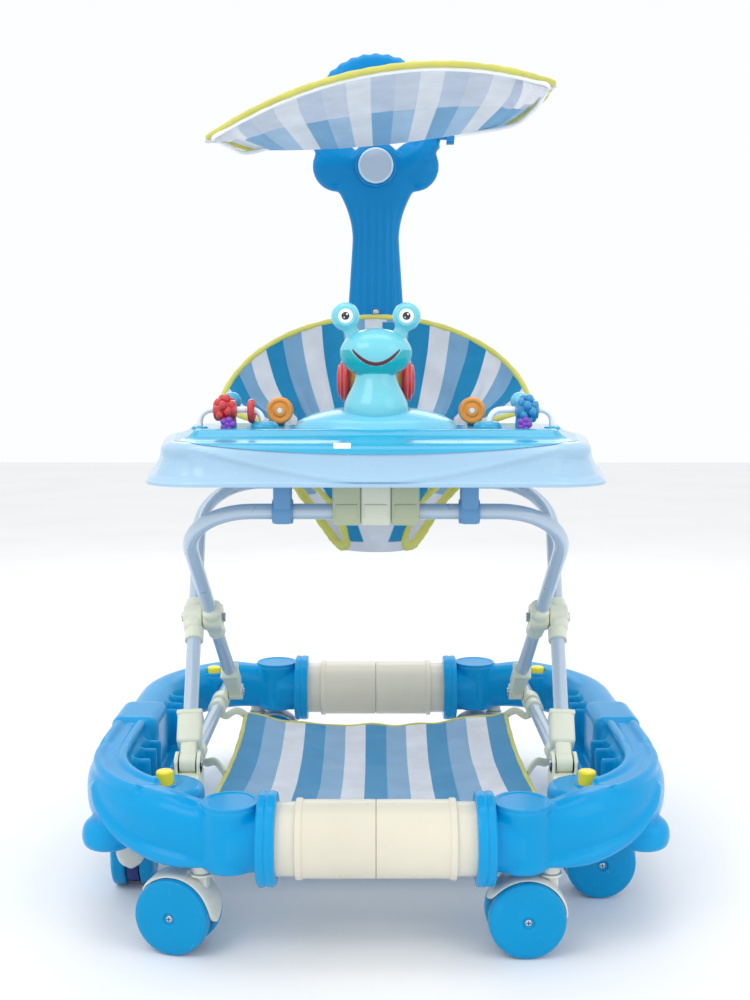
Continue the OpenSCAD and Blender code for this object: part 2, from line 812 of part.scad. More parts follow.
module handle_outline() {
    zs = [for (k = [0:14]) post_z0 + k * (792 - post_z0) / 14];
    polygon(concat([for (z = zs) [post_half(z), z]],
                   [for (k = [14:-1:0]) [-post_half(zs[k]), zs[k]]]));
    difference() {
        translate([0, grip_z]) circle(grip_r, $fn = 96);
        translate([0, grip_z + 3]) circle(grip_r - 32, $fn = 96);
    }
    translate([0, hub_z]) circle(hub_r, $fn = 72);
}

// One half of the handle between y0 and y1, hollow on the side of the parting plane
module handle_half(y0, y1, cavity0, cavity1) {
    difference() {
        translate([0, y1, 0]) rotate([90, 0, 0]) linear_extrude(y1 - y0) handle_outline();
        block([-24, cavity0, post_z0 + 20], [24, cavity1, 772]);
        translate([0, 0, grip_z]) difference() {
            rod_y(cavity0, cavity1, grip_r - 4);
            rod_y(cavity0 - 1, cavity1 + 1, grip_r - 25);
            block([-60, 150, -100], [60, 260, 0]);
        }
    }
}

module handle_front() {
    color("dodgerblue") difference() {
        union() {
            handle_half(handle_y - 15, handle_y, handle_y - 12, handle_y + 1);
            both_sides() translate([0, canopy_clip_y, canopy_clip_z]) rod_x(72, 100, bolt_r);
            translate([0, 0, hub_z]) rod_y(handle_y - 19, handle_y - 14, 26);
        }
        translate([0, 0, hub_z]) rod_y(handle_y - 20, handle_y - 16.5, 23.2);
    }
}

module handle_back() {
    color("dodgerblue") handle_half(handle_y, handle_y + 15, handle_y - 1, handle_y + 12);
}

module handle_disc() {
    color("lightsteelblue") translate([0, 0, hub_z]) rod_y(handle_y - 21, handle_y - 16.5, 23);
}

// ---------------------------------------------------------------- canopy

canopy_x = 5;           // the canopy sits a little to the right
hem_y = 168;
brim_y = [-88, 18];     // front edge at the middle and at its ends
canopy_fn = function (u, v, w) let (
    reach = hem_y - (brim_y[0] + (brim_y[1] - brim_y[0]) * u * u),
    hem_z = 831.5 + canopy_lean * u / 2 + 9 * u * u,
    brim_z = 864 + canopy_lean * u - 21 * u * u,
    x = (0.8 + 0.2 * sin(90 * min(1, 1.6 * v))) * canopy_w * u)
    [canopy_x + x, hem_y - reach * v,
     hem_z + v * (brim_z - hem_z) + 12 * sin(180 * v) * (1 - 0.7 * u * u) - 4 * w];

module canopy_fabric() { color("lightblue") skin(canopy_fn, 24, 10, -0.995, 0.995); }

// Wire bow under the edge of the fabric, from clip to clip
wire_r = 2.5;
wire_path = concat(
    [[-canopy_clip_x, canopy_clip_y - 12, canopy_clip_z]],
    [for (k = [0:2]) canopy_fn(-0.96, 0.1 + 0.3 * k, 1) - [0, 0, 3.2]],
    [for (k = [0:20]) let (u = -0.96 + 0.096 * k) canopy_fn(u, 0.97, 1) - [0, 0, 3.2]],
    [for (k = [0:2]) canopy_fn(0.96, 0.7 - 0.3 * k, 1) - [0, 0, 3.2]],
    [[canopy_clip_x, canopy_clip_y - 12, canopy_clip_z]]);

module canopy_frame() { color("silver") swept_rod(wire_path, wire_r); }

module canopy_clips() {
    color("dodgerblue") both_sides() difference() {
        union() {
            translate([0, canopy_clip_y, canopy_clip_z]) rod_x(canopy_clip_x - 5, canopy_clip_x + 5, 9);
            block([canopy_clip_x - 5, canopy_clip_y - 16, canopy_clip_z - 6],
                  [canopy_clip_x + 5, canopy_clip_y, canopy_clip_z + 6]);
        }
        translate([0, canopy_clip_y, canopy_clip_z]) rod_x(80, 110, bolt_r + run);
    }
}

// ---------------------------------------------------------------- nodes

base_shell_left();
base_shell_right();
front_cross_tube();
rear_cross_tube();
bar_sleeves();
caster_sockets();
for (i = [0:7]) {
    caster_fork(i);
    caster_wheels(i);
}
for (i = [0:3]) button(i);
foot_brackets();
foot_pins();
side_rails();
mat_hooks();
foot_mat();
frame_tube_a();
frame_tube_b();
joint_sleeves_a();
joint_sleeves_b();
joint_bolts();
front_shoes();
rear_shoes();
slider_left();
slider_right();
tray_shell();
tray_clamp();
tray_hooks();
slot_brackets();
toy_tray();
snail_body();
snail_shell();
toy_arcs();
star_bead_left();
star_bead_right();
orange_toy(-1);  // orange_toy_left
orange_toy(1);  // orange_toy_right
seat_back();
seat_sling();
handle_front();
handle_back();
handle_disc();
canopy_clips();
canopy_frame();
canopy_fabric();
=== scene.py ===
"""Looks of the baby walker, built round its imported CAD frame. Shapes are in millimetres, scaled to metres."""
import json
import math

import bmesh
import bpy
from mathutils import Matrix, Vector, noise


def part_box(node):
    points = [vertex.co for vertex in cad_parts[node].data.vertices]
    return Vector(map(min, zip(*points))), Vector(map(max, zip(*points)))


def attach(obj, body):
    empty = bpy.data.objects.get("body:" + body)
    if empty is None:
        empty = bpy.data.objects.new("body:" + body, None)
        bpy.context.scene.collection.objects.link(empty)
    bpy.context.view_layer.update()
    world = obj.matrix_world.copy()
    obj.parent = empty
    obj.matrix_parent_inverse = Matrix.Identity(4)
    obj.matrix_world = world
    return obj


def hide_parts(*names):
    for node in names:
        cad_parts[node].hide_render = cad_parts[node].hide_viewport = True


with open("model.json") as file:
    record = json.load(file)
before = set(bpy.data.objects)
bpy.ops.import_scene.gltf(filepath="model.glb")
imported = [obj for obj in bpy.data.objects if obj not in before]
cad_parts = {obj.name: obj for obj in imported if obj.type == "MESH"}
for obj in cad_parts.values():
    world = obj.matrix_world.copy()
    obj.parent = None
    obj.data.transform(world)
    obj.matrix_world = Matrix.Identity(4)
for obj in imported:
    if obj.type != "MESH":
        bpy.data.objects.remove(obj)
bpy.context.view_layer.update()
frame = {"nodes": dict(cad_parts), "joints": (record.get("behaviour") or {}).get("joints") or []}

TO_METRES = 0.001
CORNERS = ("front_left", "front_right", "side_front_left", "side_front_right",
           "side_rear_left", "side_rear_right", "rear_left", "rear_right")
SIDES = ((-1, "left"), (1, "right"))
X_AXIS, Y_AXIS, Z_AXIS = Vector((1, 0, 0)), Vector((0, 1, 0)), Vector((0, 0, 1))


def low_high(node):
    """Lowest and highest corner of a CAD node's box at rest, in millimetres."""
    low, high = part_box(node)
    return low / TO_METRES, high / TO_METRES


def lerp(a, b, t):
    return a + (b - a) * t


def bump(t, centre, width):
    """Smooth hill of height 1 at centre."""
    return math.exp(-((t - centre) / width) ** 2)


def step(t, start, end):
    """Smooth rise from 0 at start to 1 at end."""
    t = min(1.0, max(0.0, (t - start) / (end - start)))
    return t * t * (3 - 2 * t)


# ---------------------------------------------------------------- sizes, as in the CAD part

BAR_Y, BAR_Z = 281, 110
RING_X, RING_R, RING_Z = 280, 150, 120
RING_W, RING_H = 48, 64
# places of the buttons' sockets on the right side shell, front and rear, and their radius
SOCKETS, SOCKET_R = ((213, -203), (219, 228)), 10
CUP_X, CUP_R, CUP_TOP = 138, 28, 148
FLANGE_R, FLANGE_X = 44.5, (94, 112)
SLEEVE_R, SLEEVE_END, CORE_R = 36.5, 76, 34.5
WHEEL_R, TRAIL = 37, 24
FOOT_Y, FOOT_Z, JOINT_Z = 145, 140, 267
LEG_LEN, BEND_R, TUBE_R = 408, 72, 8
LEG_A, LEG_B = (198, 210), (180, 190)
SLOPE = math.atan2(JOINT_Z - FOOT_Z, FOOT_Y)
CROSSBAR_Y = LEG_LEN * math.cos(SLOPE) - FOOT_Y
CROSSBAR_Z = FOOT_Z + LEG_LEN * math.sin(SLOPE)
RAIL_X, RAIL_Z = 200, 128
TRAY_LOW, TRAY_TOP = 441, 485
SEAT_R, SEAT_DX, SEAT_Y = 122, 30, 30
TOY_Y, SHELL_Y, SHELL_Z = -150, -95, 541
HANDLE_Y, GRIP_Z, GRIP_R, HUB_Z = 200, 865, 86, 809
CLIP_X, CLIP_Y, CLIP_Z = 94, 190, 845
CANOPY_X, CANOPY_W, CANOPY_LEAN, HEM_Y, BRIM_Y = 5, 196, 30, 168, (-88, 18)


# ---------------------------------------------------------------- camera and light

def put(name, data, place, turn):
    made = bpy.data.objects.new(name, data)
    made.location = place
    made.rotation_euler = [math.radians(a) for a in turn]
    bpy.context.scene.collection.objects.link(made)
    return made


def camera():
    data = bpy.data.cameras.new("camera")
    data.lens, data.sensor_width = 44.46, 36
    bpy.context.scene.camera = put("camera", data, (-0.001, -1.413, 0.552), (84, 0, 0))


def softbox(name, place, turn, size, power):
    data = bpy.data.lights.new(name, "AREA")
    data.shape, data.size, data.size_y, data.energy = "RECTANGLE", size[0], size[1], power
    put(name, data, place, turn)


def studio():
    bpy.context.scene.view_settings.view_transform = "Standard"
    softbox("key", (-1.1, -1.3, 1.9), (45, 0, -40), (1.2, 1.0), 10)
    softbox("fill", (1.4, -1.2, 1.2), (62, 0, 50), (1.0, 1.4), 4)
    softbox("top", (0, 0.2, 2.2), (0, 0, 0), (1.6, 1.2), 9)
    softbox("back", (0, 1.8, 1.4), (-60, 0, 0), (1.6, 0.8), 6)
    world = bpy.data.worlds.new("studio")
    world.use_nodes = True
    back = world.node_tree.nodes["Background"]
    back.inputs["Color"].default_value = (0.98, 0.99, 1.0, 1)
    back.inputs["Strength"].default_value = 1.0
    bpy.context.scene.world = world


# ---------------------------------------------------------------- materials

class Shader:
    """One node material, with a short way to add and link its nodes."""

    def __init__(self, name):
        self.material = bpy.data.materials.new(name)
        self.material.use_nodes = True
        self.tree = self.material.node_tree
        self.tree.nodes.clear()
        self.body = self.add("BsdfPrincipled")
        out = self.add("OutputMaterial")
        self.tree.links.new(self.body.outputs[0], out.inputs[0])

    def add(self, kind, *plugs, **props):
        made = self.tree.nodes.new("ShaderNode" + kind)
        for key, value in props.items():
            setattr(made, key, value)
        for socket, value in plugs:
            self.plug(made, socket, value)
        return made

    def plug(self, node, socket, value):
        if isinstance(value, bpy.types.Node):
            value = value.outputs[0]
        if isinstance(value, bpy.types.NodeSocket):
            self.tree.links.new(value, node.inputs[socket])
        else:
            node.inputs[socket].default_value = value

    def set(self, **values):
        for key, value in values.items():
            self.plug(self.body, key.replace("_", " "), value)

    def place(self):
        return self.add("TexCoord").outputs["Object"]

    def noise(self, scale, detail=2.0, where=None):
        return self.add("TexNoise", ("Vector", where or self.place()), ("Scale", scale), ("Detail", detail))

    def ramp(self, value, stops, interpolation="LINEAR"):
        made = self.add("ValToRGB", (0, value))
        made.color_ramp.interpolation = interpolation
        points = made.color_ramp.elements
        while len(points) < len(stops):
            points.new(1.0)
        for point, (at, colour) in zip(points, stops):
            point.position = at
            point.color = colour
        return made

    def mottle(self, scale, detail, start, low, end, high):
        """Noise that runs from one colour to another."""
        return self.ramp(self.noise(scale, detail), [(start, low), (end, high)])

    def mix(self, factor, a, b, blend="MIX"):
        made = self.add("Mix", data_type="RGBA", blend_type=blend)
        for socket, value in ((0, factor), (6, a), (7, b)):
            self.plug(made, socket, value)
        return made.outputs[2]

    def math(self, operation, a, b=0.0):
        return self.add("Math", (0, a), (1, b), operation=operation)

    def bump(self, height, strength, distance, under=None):
        made = self.add("Bump", ("Height", height), ("Strength", strength), ("Distance", distance))
        if under:
            self.plug(made, "Normal", under)
        return made


def linear(colour):
    """Linear colour from a display colour of three bytes."""
    out = [c / 255 for c in colour]
    return tuple((c / 12.92 if c <= 0.04045 else ((c + 0.055) / 1.055) ** 2.4) for c in out) + (1.0,)


def grey(level):
    return (level, level, level, 1)


def shaded(colour, by):
    return tuple(min(1.0, c * by) for c in colour[:3]) + (1.0,)


def plastic(name, colour, rough=0.25, coat=0.35, grain=0.03, clear=0.0, worn=0.05, shine=0.35):
    """Moulded plastic: slight colour drift, edge wear, orange peel and uneven gloss."""
    s = Shader(name)
    base = linear(colour)
    drift = s.mottle(9.0, 3.0, 0.3, shaded(base, 1 - worn), 0.7, shaded(base, 1 + worn))
    edge = s.ramp(s.add("NewGeometry").outputs["Pointiness"], [(0.5, grey(0)), (0.62, grey(worn * 2))])
    rubbed = tuple(lerp(c, 1.0, 0.5) for c in base[:3]) + (1.0,)
    gloss = s.mottle(40.0, 4.0, 0.25, grey(rough * 0.8), 0.8, grey(rough * 1.35))
    peel = s.bump(s.noise(260.0, 1.0), grain, 0.0006)
    fine = s.bump(s.noise(1800.0, 1.0), grain, 0.0002, peel)
    s.set(Base_Color=s.mix(edge, drift, rubbed), Roughness=gloss, Normal=fine, Coat_Weight=coat,
          Coat_Roughness=0.08, IOR=1.49, Specular_IOR_Level=shine)
    if clear:
        s.set(Subsurface_Weight=clear, Subsurface_Radius=(1.0, 0.9, 0.8), Subsurface_Scale=0.004)
    return s.material


def steel(name, colour, rough=0.3, metal=1.0, coat=0.0):
    """Bare or painted steel with slight tint drift, a fine bump and uneven gloss."""
    s = Shader(name)
    base = linear(colour)
    tint = s.mottle(6.0, 2.0, 0.3, shaded(base, 0.97), 0.75, shaded(base, 1.03))
    gloss = s.mottle(60.0, 2.0, 0.3, grey(rough * 0.9), 0.75, grey(rough * 1.15))
    peel = s.bump(s.noise(420.0, 2.0), 0.015, 0.0002)
    s.set(Base_Color=tint, Roughness=gloss, Metallic=metal, Coat_Weight=coat, Coat_Roughness=0.1, Normal=peel)
    return s.material


def woven(s, pitch=0.0011, strength=0.35):
    """Normal of a plain weave over the cloth's own UV map, which is in metres."""
    uv = s.add("UVMap", uv_map="cloth").outputs[0]
    parts = s.add("SeparateXYZ", ("Vector", uv))
    turns = math.tau / pitch
    warp = s.math("SINE", s.math("MULTIPLY", parts.outputs[0], turns))
    weft = s.math("SINE", s.math("MULTIPLY", parts.outputs[1], turns))
    height = s.math("MULTIPLY", warp, weft)
    crease = s.bump(s.noise(55.0, 5.0), 0.18, 0.002)
    return s.bump(height, strength, pitch * 0.4, crease)


def cloth(name, colours, band=None, shine=0.25, rough=0.75, thin=0.0):
    """Striped woven cloth. The mesh counts its stripes, and beyond the band's edge the band's colours rule."""
    s = Shader(name)
    stripe = s.add("Attribute", attribute_name="stripe").outputs["Fac"]
    share = s.math("FRACT", s.math("DIVIDE", stripe, float(len(colours))))

    def stripes(paints):
        return s.ramp(share, [(i / len(paints), linear(c)) for i, c in enumerate(paints)], "CONSTANT")
    paint = stripes(colours)
    if band:
        edge, faded = band
        along = s.add("SeparateXYZ", ("Vector", s.add("UVMap", uv_map="cloth").outputs[0])).outputs[1]
        paint = s.mix(s.math("GREATER_THAN", along, edge), paint, stripes(faded))
    drift = s.mottle(35.0, 4.0, 0.3, grey(0.9), 0.75, grey(1.06))
    gloss = s.mottle(90.0, 3.0, 0.3, grey(rough * 0.9), 0.7, grey(rough * 1.1))
    s.set(Base_Color=s.mix(1.0, paint, drift, "MULTIPLY"), Roughness=gloss, Sheen_Weight=shine,
          Sheen_Roughness=0.4,
          Normal=woven(s))
    if thin:
        s.set(Subsurface_Weight=thin, Subsurface_Radius=(1.0, 1.0, 1.0), Subsurface_Scale=0.006)
    return s.material


SHELL_BLUE = plastic("shell_blue", (0, 153, 214), 0.2, 0.1, shine=0.12)
HANDLE_BLUE = plastic("handle_blue", (0, 134, 198), 0.22, 0.08, shine=0.12)
WHEEL_BLUE = plastic("wheel_blue", (0, 146, 202), 0.24, 0.08, shine=0.12)
NAVY = plastic("navy_core", (4, 34, 112), 0.4, 0.1)
CREAM = plastic("cream_plastic", (224, 218, 200), 0.32, 0.25, clear=0.15)
JOINT_CREAM = plastic("joint_plastic", (222, 226, 206), 0.36, 0.2, clear=0.1)
CLAMP_OLIVE = plastic("clamp_plastic", (182, 192, 160), 0.4, 0.15)
HOOD = plastic("hood_plastic", (214, 216, 208), 0.3, 0.3, clear=0.4)
YELLOW = plastic("button_yellow", (246, 226, 40), 0.28, 0.35, clear=0.1)
TRAY_BLUE = plastic("tray_pale_blue", (160, 196, 222), 0.24, 0.3)
BRACKET_BLUE = plastic("bracket_blue", (92, 152, 200), 0.35, 0.2)
TOY_CYAN = plastic("toy_cyan", (40, 166, 206), 0.22, 0.45)
MOUND_CYAN = plastic("mound_cyan", (112, 200, 230), 0.26, 0.4)
AQUA = plastic("snail_aqua", (116, 206, 222), 0.24, 0.45)
AQUA_DEEP = plastic("snail_deep_aqua", (10, 172, 184), 0.26, 0.4)
RED = plastic("toy_red", (204, 34, 40), 0.22, 0.5)
MOUTH_RED = plastic("mouth_red", (84, 20, 30), 0.4, 0.1)
ORANGE = plastic("toy_orange", (246, 160, 66), 0.26, 0.35)
TOY_WHITE = plastic("toy_white", (246, 248, 250), 0.24, 0.4)
BEAD_BLUE = plastic("toy_blue", (0, 138, 196), 0.18, 0.6, clear=0.15)
PURPLE = plastic("toy_purple", (128, 58, 190), 0.25, 0.4)
PUPIL = plastic("pupil_black", (18, 26, 40), 0.12, 0.8)
DISC_GREY = plastic("disc_grey", (178, 194, 212), 0.34, 0.2)
DISC_RIM = plastic("disc_rim", (196, 222, 240), 0.28, 0.3)
TUBE_PAINT = steel("tube_paint", (186, 204, 220), 0.3, 0.2, 0.4)
ZINC = steel("zinc_steel", (196, 198, 202), 0.28)
PIPING = cloth("yellow_piping", [(214, 212, 104)], shine=0.3)
BLUE_C, SKY_C, WHITE_C = (0, 138, 190), (126, 172, 208), (222, 226, 234)
SEAT_CLOTH = cloth("stripe_fabric", [WHITE_C, BLUE_C, SKY_C])
MAT_CLOTH = cloth("mat_fabric", [BLUE_C, SKY_C, WHITE_C])
LINING = cloth("canopy_lining", [(112, 168, 206), (160, 192, 220), (218, 224, 232)],
               band=(0.095, [(190, 202, 222), (202, 210, 226), (226, 230, 238)]), thin=0.3)
CANOPY_TOP = cloth("canopy_cloth", [(60, 142, 204), (136, 182, 220), (228, 232, 240)], thin=0.3)
LINING_WHITE = cloth("white_lining", [(226, 230, 238)], thin=0.2)


# ---------------------------------------------------------------- mesh building

def steps(count, start=0.0, end=1.0):
    """count + 1 even numbers from start to end."""
    return [lerp(start, end, i / count) for i in range(count + 1)]


def turned(axis):
    """Matrix that stands the Z axis up along axis."""
    return axis.to_track_quat("Z", "Y").to_matrix().to_4x4()


def frames_along(path, closed=False, up=None):
    """Point, side vector and up vector at each point of a path, carried along without twist or kept to up."""
    out = []
    count = len(path)
    side = None
    for i, point in enumerate(path):
        before = path[i - 1] if closed or i else point
        after = path[(i + 1) % count] if closed or i < count - 1 else point
        ahead = (after - before).normalized()
        if up is not None:
            side = ahead.cross(up).normalized()
        elif side is None:
            side = ahead.orthogonal().normalized()
        else:
            side = (side - ahead * side.dot(ahead)).normalized()
        out.append((point, side, side.cross(ahead)))
    return out


def oval(a, b, count=24, power=2.0):
    """Closed oval or rounded-box outline with half sizes a and b."""
    out = []
    for k in range(count):
        c, s = math.cos(math.tau * k / count), math.sin(math.tau * k / count)
        out.append((a * math.copysign(abs(c) ** (2 / power), c), b * math.copysign(abs(s) ** (2 / power), s)))
    return out


def rounded(points, radius, count=4):
    """An open profile with its inner corners rounded."""
    out = [Vector(points[0])]
    for a, b, c in zip(points, points[1:], points[2:]):
        a, b, c = Vector(a), Vector(b), Vector(c)
        cut = min(radius, (a - b).length * 0.45, (c - b).length * 0.45)
        start, end = b + (a - b).normalized() * cut, b + (c - b).normalized() * cut
        for t in steps(count):
            out.append((1 - t) ** 2 * start + 2 * t * (1 - t) * b + t * t * end)
    out.append(Vector(points[-1]))
    return out


class Piece:
    """Solids and sheets of one piece, in millimetres, each with its own material, that become one object."""

    def __init__(self):
        self.bm = bmesh.new()
        self.uv = self.bm.loops.layers.uv.new("cloth")
        self.stripe = self.bm.verts.layers.float.new("stripe")
        self.materials = []

    def paint(self, faces, material):
        if material not in self.materials:
            self.materials.append(material)
        index = self.materials.index(material)
        for face in faces:
            face.material_index = index
            face.smooth = True

    def grid(self, rows, material, around=False, ring=False, caps=False, uv=None, stripe=None):
        """Quads over rows of points. around closes each row, ring closes the rows, caps fills both ends."""
        verts = [[self.bm.verts.new(p) for p in row] for row in rows]
        height, width = len(rows), len(rows[0])
        if stripe:
            for i, row in enumerate(verts):
                for j, vert in enumerate(row):
                    vert[self.stripe] = stripe(i, j)
        faces = []
        for i in range(height if ring else height - 1):
            for j in range(width if around else width - 1):
                corners = ((i, j), (i, j + 1), (i + 1, j + 1), (i + 1, j))
                face = self.bm.faces.new([verts[r % height][c % width] for r, c in corners])
                if uv:
                    for loop, (r, c) in zip(face.loops, corners):
                        loop[self.uv].uv = uv(r, c)
                faces.append(face)
        if caps:
            faces.append(self.bm.faces.new(verts[0][::-1]))
            faces.append(self.bm.faces.new(verts[-1]))
        self.paint(faces, material)
        return verts

    def lathe(self, profile, material, at=(0, 0, 0), axis=Z_AXIS, count=48, fillet=0.0, closed=False):
        """Turns a profile of (radius, height) pairs round an axis."""
        if fillet:
            profile = rounded(profile, fillet)
        place = Matrix.Translation(at) @ turned(Vector(axis))
        rows = [[place @ Vector((r * math.cos(math.tau * k / count), r * math.sin(math.tau * k / count), h))
                 for k in range(count)] for r, h in profile]
        return self.grid(rows, material, around=True, ring=closed)

    def rod(self, start, end, radius, material, fillet=0.6, count=40):
        """Solid round bar between two points, with eased edges."""
        start, end = Vector(start), Vector(end)
        length = (end - start).length
        profile = [(0, 0), (radius, 0), (radius, length), (0, length)]
        self.lathe(profile, material, start, end - start, count, min(fillet, radius * 0.6))

    def ball(self, centre, radii, material, count=32, place=Matrix.Identity(4)):
        """Ellipsoid with half sizes radii."""
        rows = [[place @ (Vector(centre) + Vector((radii[0] * math.sin(a) * math.cos(b),
                                                   radii[1] * math.sin(a) * math.sin(b),
                                                   radii[2] * math.cos(a))))
                 for b in steps(count, 0, math.tau)[:-1]] for a in steps(count // 2, 0, math.pi)]
        self.grid(rows, material, around=True)

    def box(self, low, high, material, edge=1.5, place=Matrix.Identity(4), segments=3):
        """Box from corner to corner with rounded edges."""
        known = set(self.bm.faces)
        low, high = Vector(low), Vector(high)
        made = bmesh.ops.create_cube(self.bm, size=1.0)["verts"]
        for vert in made:
            vert.co = (low + high) / 2 + Vector([c * s for c, s in zip(vert.co, high - low)])
        edges = list({e for v in made for e in v.link_edges})
        bmesh.ops.bevel(self.bm, geom=edges, offset=edge, segments=segments, affect="EDGES", profile=0.5)
        fresh = [f for f in self.bm.faces if f not in known]
        for vert in {v for f in fresh for v in f.verts}:
            vert.co = place @ vert.co
        self.paint(fresh, material)

    def sweep(self, path, outline, material, closed=False, up=None, caps=True, uv_width=None):
        """Sweeps a closed outline, or outline(t) for t from 0 to 1, along a path."""
        rows = []
        spots = frames_along(path, closed, up)
        for i, (point, side, top) in enumerate(spots):
            shape = outline(i / (len(spots) - 1)) if callable(outline) else outline
            rows.append([point + side * a + top * b for a, b in shape])
        length = [0.0]
        for a, b in zip(path, path[1:] + path[:1]):
            length.append(length[-1] + (b - a).length * TO_METRES)
        uv = (lambda r, c: (c / len(rows[0]) * uv_width, length[r])) if uv_width else None
        self.grid(rows, material, around=True, ring=closed, caps=caps and not closed, uv=uv)

    def pipe(self, path, radius, material, closed=False, count=20):
        self.sweep(path, oval(radius, radius, count), material, closed)

    def piping(self, path, radius=2.6, closed=False):
        """Sewn cloth edge binding, slightly uneven along its length."""
        def outline(t):
            swell = 1 + 0.07 * math.sin(t * 160) + 0.05 * math.sin(t * 61)
            return oval(radius * swell, radius * swell, 12)
        self.sweep(path, outline, PIPING, closed, uv_width=0.016)

    def sheet(self, f, across, along, outer, inner=None, thick=1.6, size=(0.3, 0.3), stripe=None):
        """Cloth of even thickness over f(u, v), with u and v from 0 to 1 and size its flat size in metres."""
        us, vs = steps(across), steps(along)
        rows = [[Vector(f(u, v)) for u in us] for v in vs]
        shift = []
        for i in range(len(vs)):
            line = []
            for j in range(len(us)):
                side = rows[i][min(j + 1, across)] - rows[i][max(j - 1, 0)]
                down = rows[min(i + 1, along)][j] - rows[max(i - 1, 0)][j]
                normal = side.cross(down)
                line.append(normal.normalized() * thick if normal.length > 1e-9 else Vector((0, 0, 0)))
            shift.append(line)
        uv = lambda r, c: (us[c] * size[0], vs[r] * size[1])
        mark = (lambda i, j: stripe(us[j], vs[i])) if stripe else None
        top = self.grid(rows, outer, uv=uv, stripe=mark)
        under = [[p + s for p, s in zip(r, d)] for r, d in zip(rows, shift)]
        low = self.grid(under, inner or outer, uv=uv, stripe=mark)
        rim_a = top[0] + [r[-1] for r in top[1:]] + top[-1][-2::-1] + [r[0] for r in top[-2:0:-1]]
        rim_b = low[0] + [r[-1] for r in low[1:]] + low[-1][-2::-1] + [r[0] for r in low[-2:0:-1]]
        faces = [self.bm.faces.new((rim_a[k - 1], rim_a[k], rim_b[k],
                                    rim_b[k - 1])) for k in range(len(rim_a))]
        self.paint(faces, outer)

    def melt(self, name, voxel, passes, push=None):
        """Runs the solids together into one smooth skin, as moulded plastic."""
        bmesh.ops.recalc_face_normals(self.bm, faces=self.bm.faces)
        mesh = bpy.data.meshes.new(name)
        self.bm.to_mesh(mesh)
        made = bpy.data.objects.new(name, mesh)
        bpy.context.scene.collection.objects.link(made)
        remesh = made.modifiers.new("skin", "REMESH")
        remesh.mode, remesh.voxel_size = "VOXEL", voxel
        ready = made.evaluated_get(bpy.context.evaluated_depsgraph_get()).to_mesh()
        skin = bmesh.new()
        skin.from_mesh(ready)
        bpy.data.objects.remove(made)
        for _ in range(passes):
            bmesh.ops.smooth_vert(skin, verts=skin.verts, factor=0.5, use_axis_x=True, use_axis_y=True,
                                  use_axis_z=True)
        if push:
            skin.normal_update()
            moves = [(v, push(v.co, v.normal)) for v in skin.verts]
            for vert, move in moves:
                vert.co += move
        material = self.materials[0]
        self.bm.free()
        self.bm = skin
        self.uv = skin.loops.layers.uv.verify()
        self.stripe = skin.verts.layers.float.get("stripe") or skin.verts.layers.float.new("stripe")
        self.materials = []
        self.paint(skin.faces, material)
        return self

    def copy(self):
        other = Piece.__new__(Piece)
        other.bm = self.bm.copy()
        other.uv = other.bm.loops.layers.uv.verify()
        other.stripe = other.bm.verts.layers.float.get("stripe")
        other.materials = list(self.materials)
        return other

    def mirrored(self):
        """A copy on the other side of the middle plane."""
        other = self.copy()
        for vert in other.bm.verts:
            vert.co.x = -vert.co.x
        bmesh.ops.reverse_faces(other.bm, faces=other.bm.faces)
        return other

    def done(self, name, body, nodes=(), slot=None, sharp=38, place=Matrix.Identity(4)):
        """Makes the object, in metres, riding on its body and standing for its CAD nodes."""
        bmesh.ops.remove_doubles(self.bm, verts=self.bm.verts, dist=0.002)
        bmesh.ops.dissolve_degenerate(self.bm, edges=self.bm.edges, dist=0.001)
        bmesh.ops.recalc_face_normals(self.bm, faces=self.bm.faces)
        mesh = bpy.data.meshes.new(name)
        self.bm.to_mesh(mesh)
        self.bm.free()
        mesh.transform(Matrix.Scale(TO_METRES, 4) @ place)
        for material in self.materials:
            mesh.materials.append(material)
        mesh.set_sharp_from_angle(angle=math.radians(sharp))
        made = bpy.data.objects.new(name, mesh)
        bpy.context.scene.collection.objects.link(made)
        if body:
            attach(made, body)
        if nodes:
            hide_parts(*nodes)
        return made


def cut_holes(made, holes):
    """Drills round holes of (centre, radius, depth) downwards from their centres through a closed mesh."""
    for k, (centre, radius, depth) in enumerate(holes):
        drill = Piece()
        drill.rod(Vector(centre), Vector(centre) - Z_AXIS * depth, radius, SHELL_BLUE, 0.01)
        tool = drill.done(f"drill_{k}", None)
        cut = made.modifiers.new("hole", "BOOLEAN")
        cut.operation, cut.object, cut.solver = "DIFFERENCE", tool, "EXACT"
        ready = bpy.data.meshes.new_from_object(made.evaluated_get(bpy.context.evaluated_depsgraph_get()))
        made.modifiers.clear()
        made.data = ready
        bpy.data.objects.remove(tool)
    made.data.set_sharp_from_angle(angle=math.radians(38))


def repaint(node, material):
    """Gives a CAD node that no piece stands for its material."""
    slots = frame["nodes"][node].data.materials
    slots.clear()
    slots.append(material)


# ---------------------------------------------------------------- base ring

def ring_path(radius, z, start=-90, end=90, count=14):
    """Right half of the ring at a distance from its corner centres, from one angle to the other."""
    cx, cy = RING_X - RING_R, BAR_Y - RING_R
    front = [Vector((cx + radius * math.cos(math.radians(a)), -cy + radius * math.sin(math.radians(a)), z))
             for a in steps(count, start, min(end, 0))]
    if end <= 0:
        return front
    back = [Vector((cx + radius * math.cos(math.radians(a)), cy + radius * math.sin(math.radians(a)), z))
            for a in steps(count, 0, end)]
    return front + [Vector((cx + radius, y, z)) for y in steps(8, -cy, cy)[1:-1]] + back


def near_cup(q):
    """How close a point of the ring is to its cups: 1 at their middle, 0 well away."""
    return 1 - step(q.x, CUP_X + 6, CUP_X + 76)


# angle round the corner, distance from the ring's centreline and height of the shell's diagonal lip
LIP = ((-88, 15, 91), (-74, 20, 92), (-60, 22, 97), (-45, 22.5, 108), (-33, 21.5, 122), (-25, 18, 134))


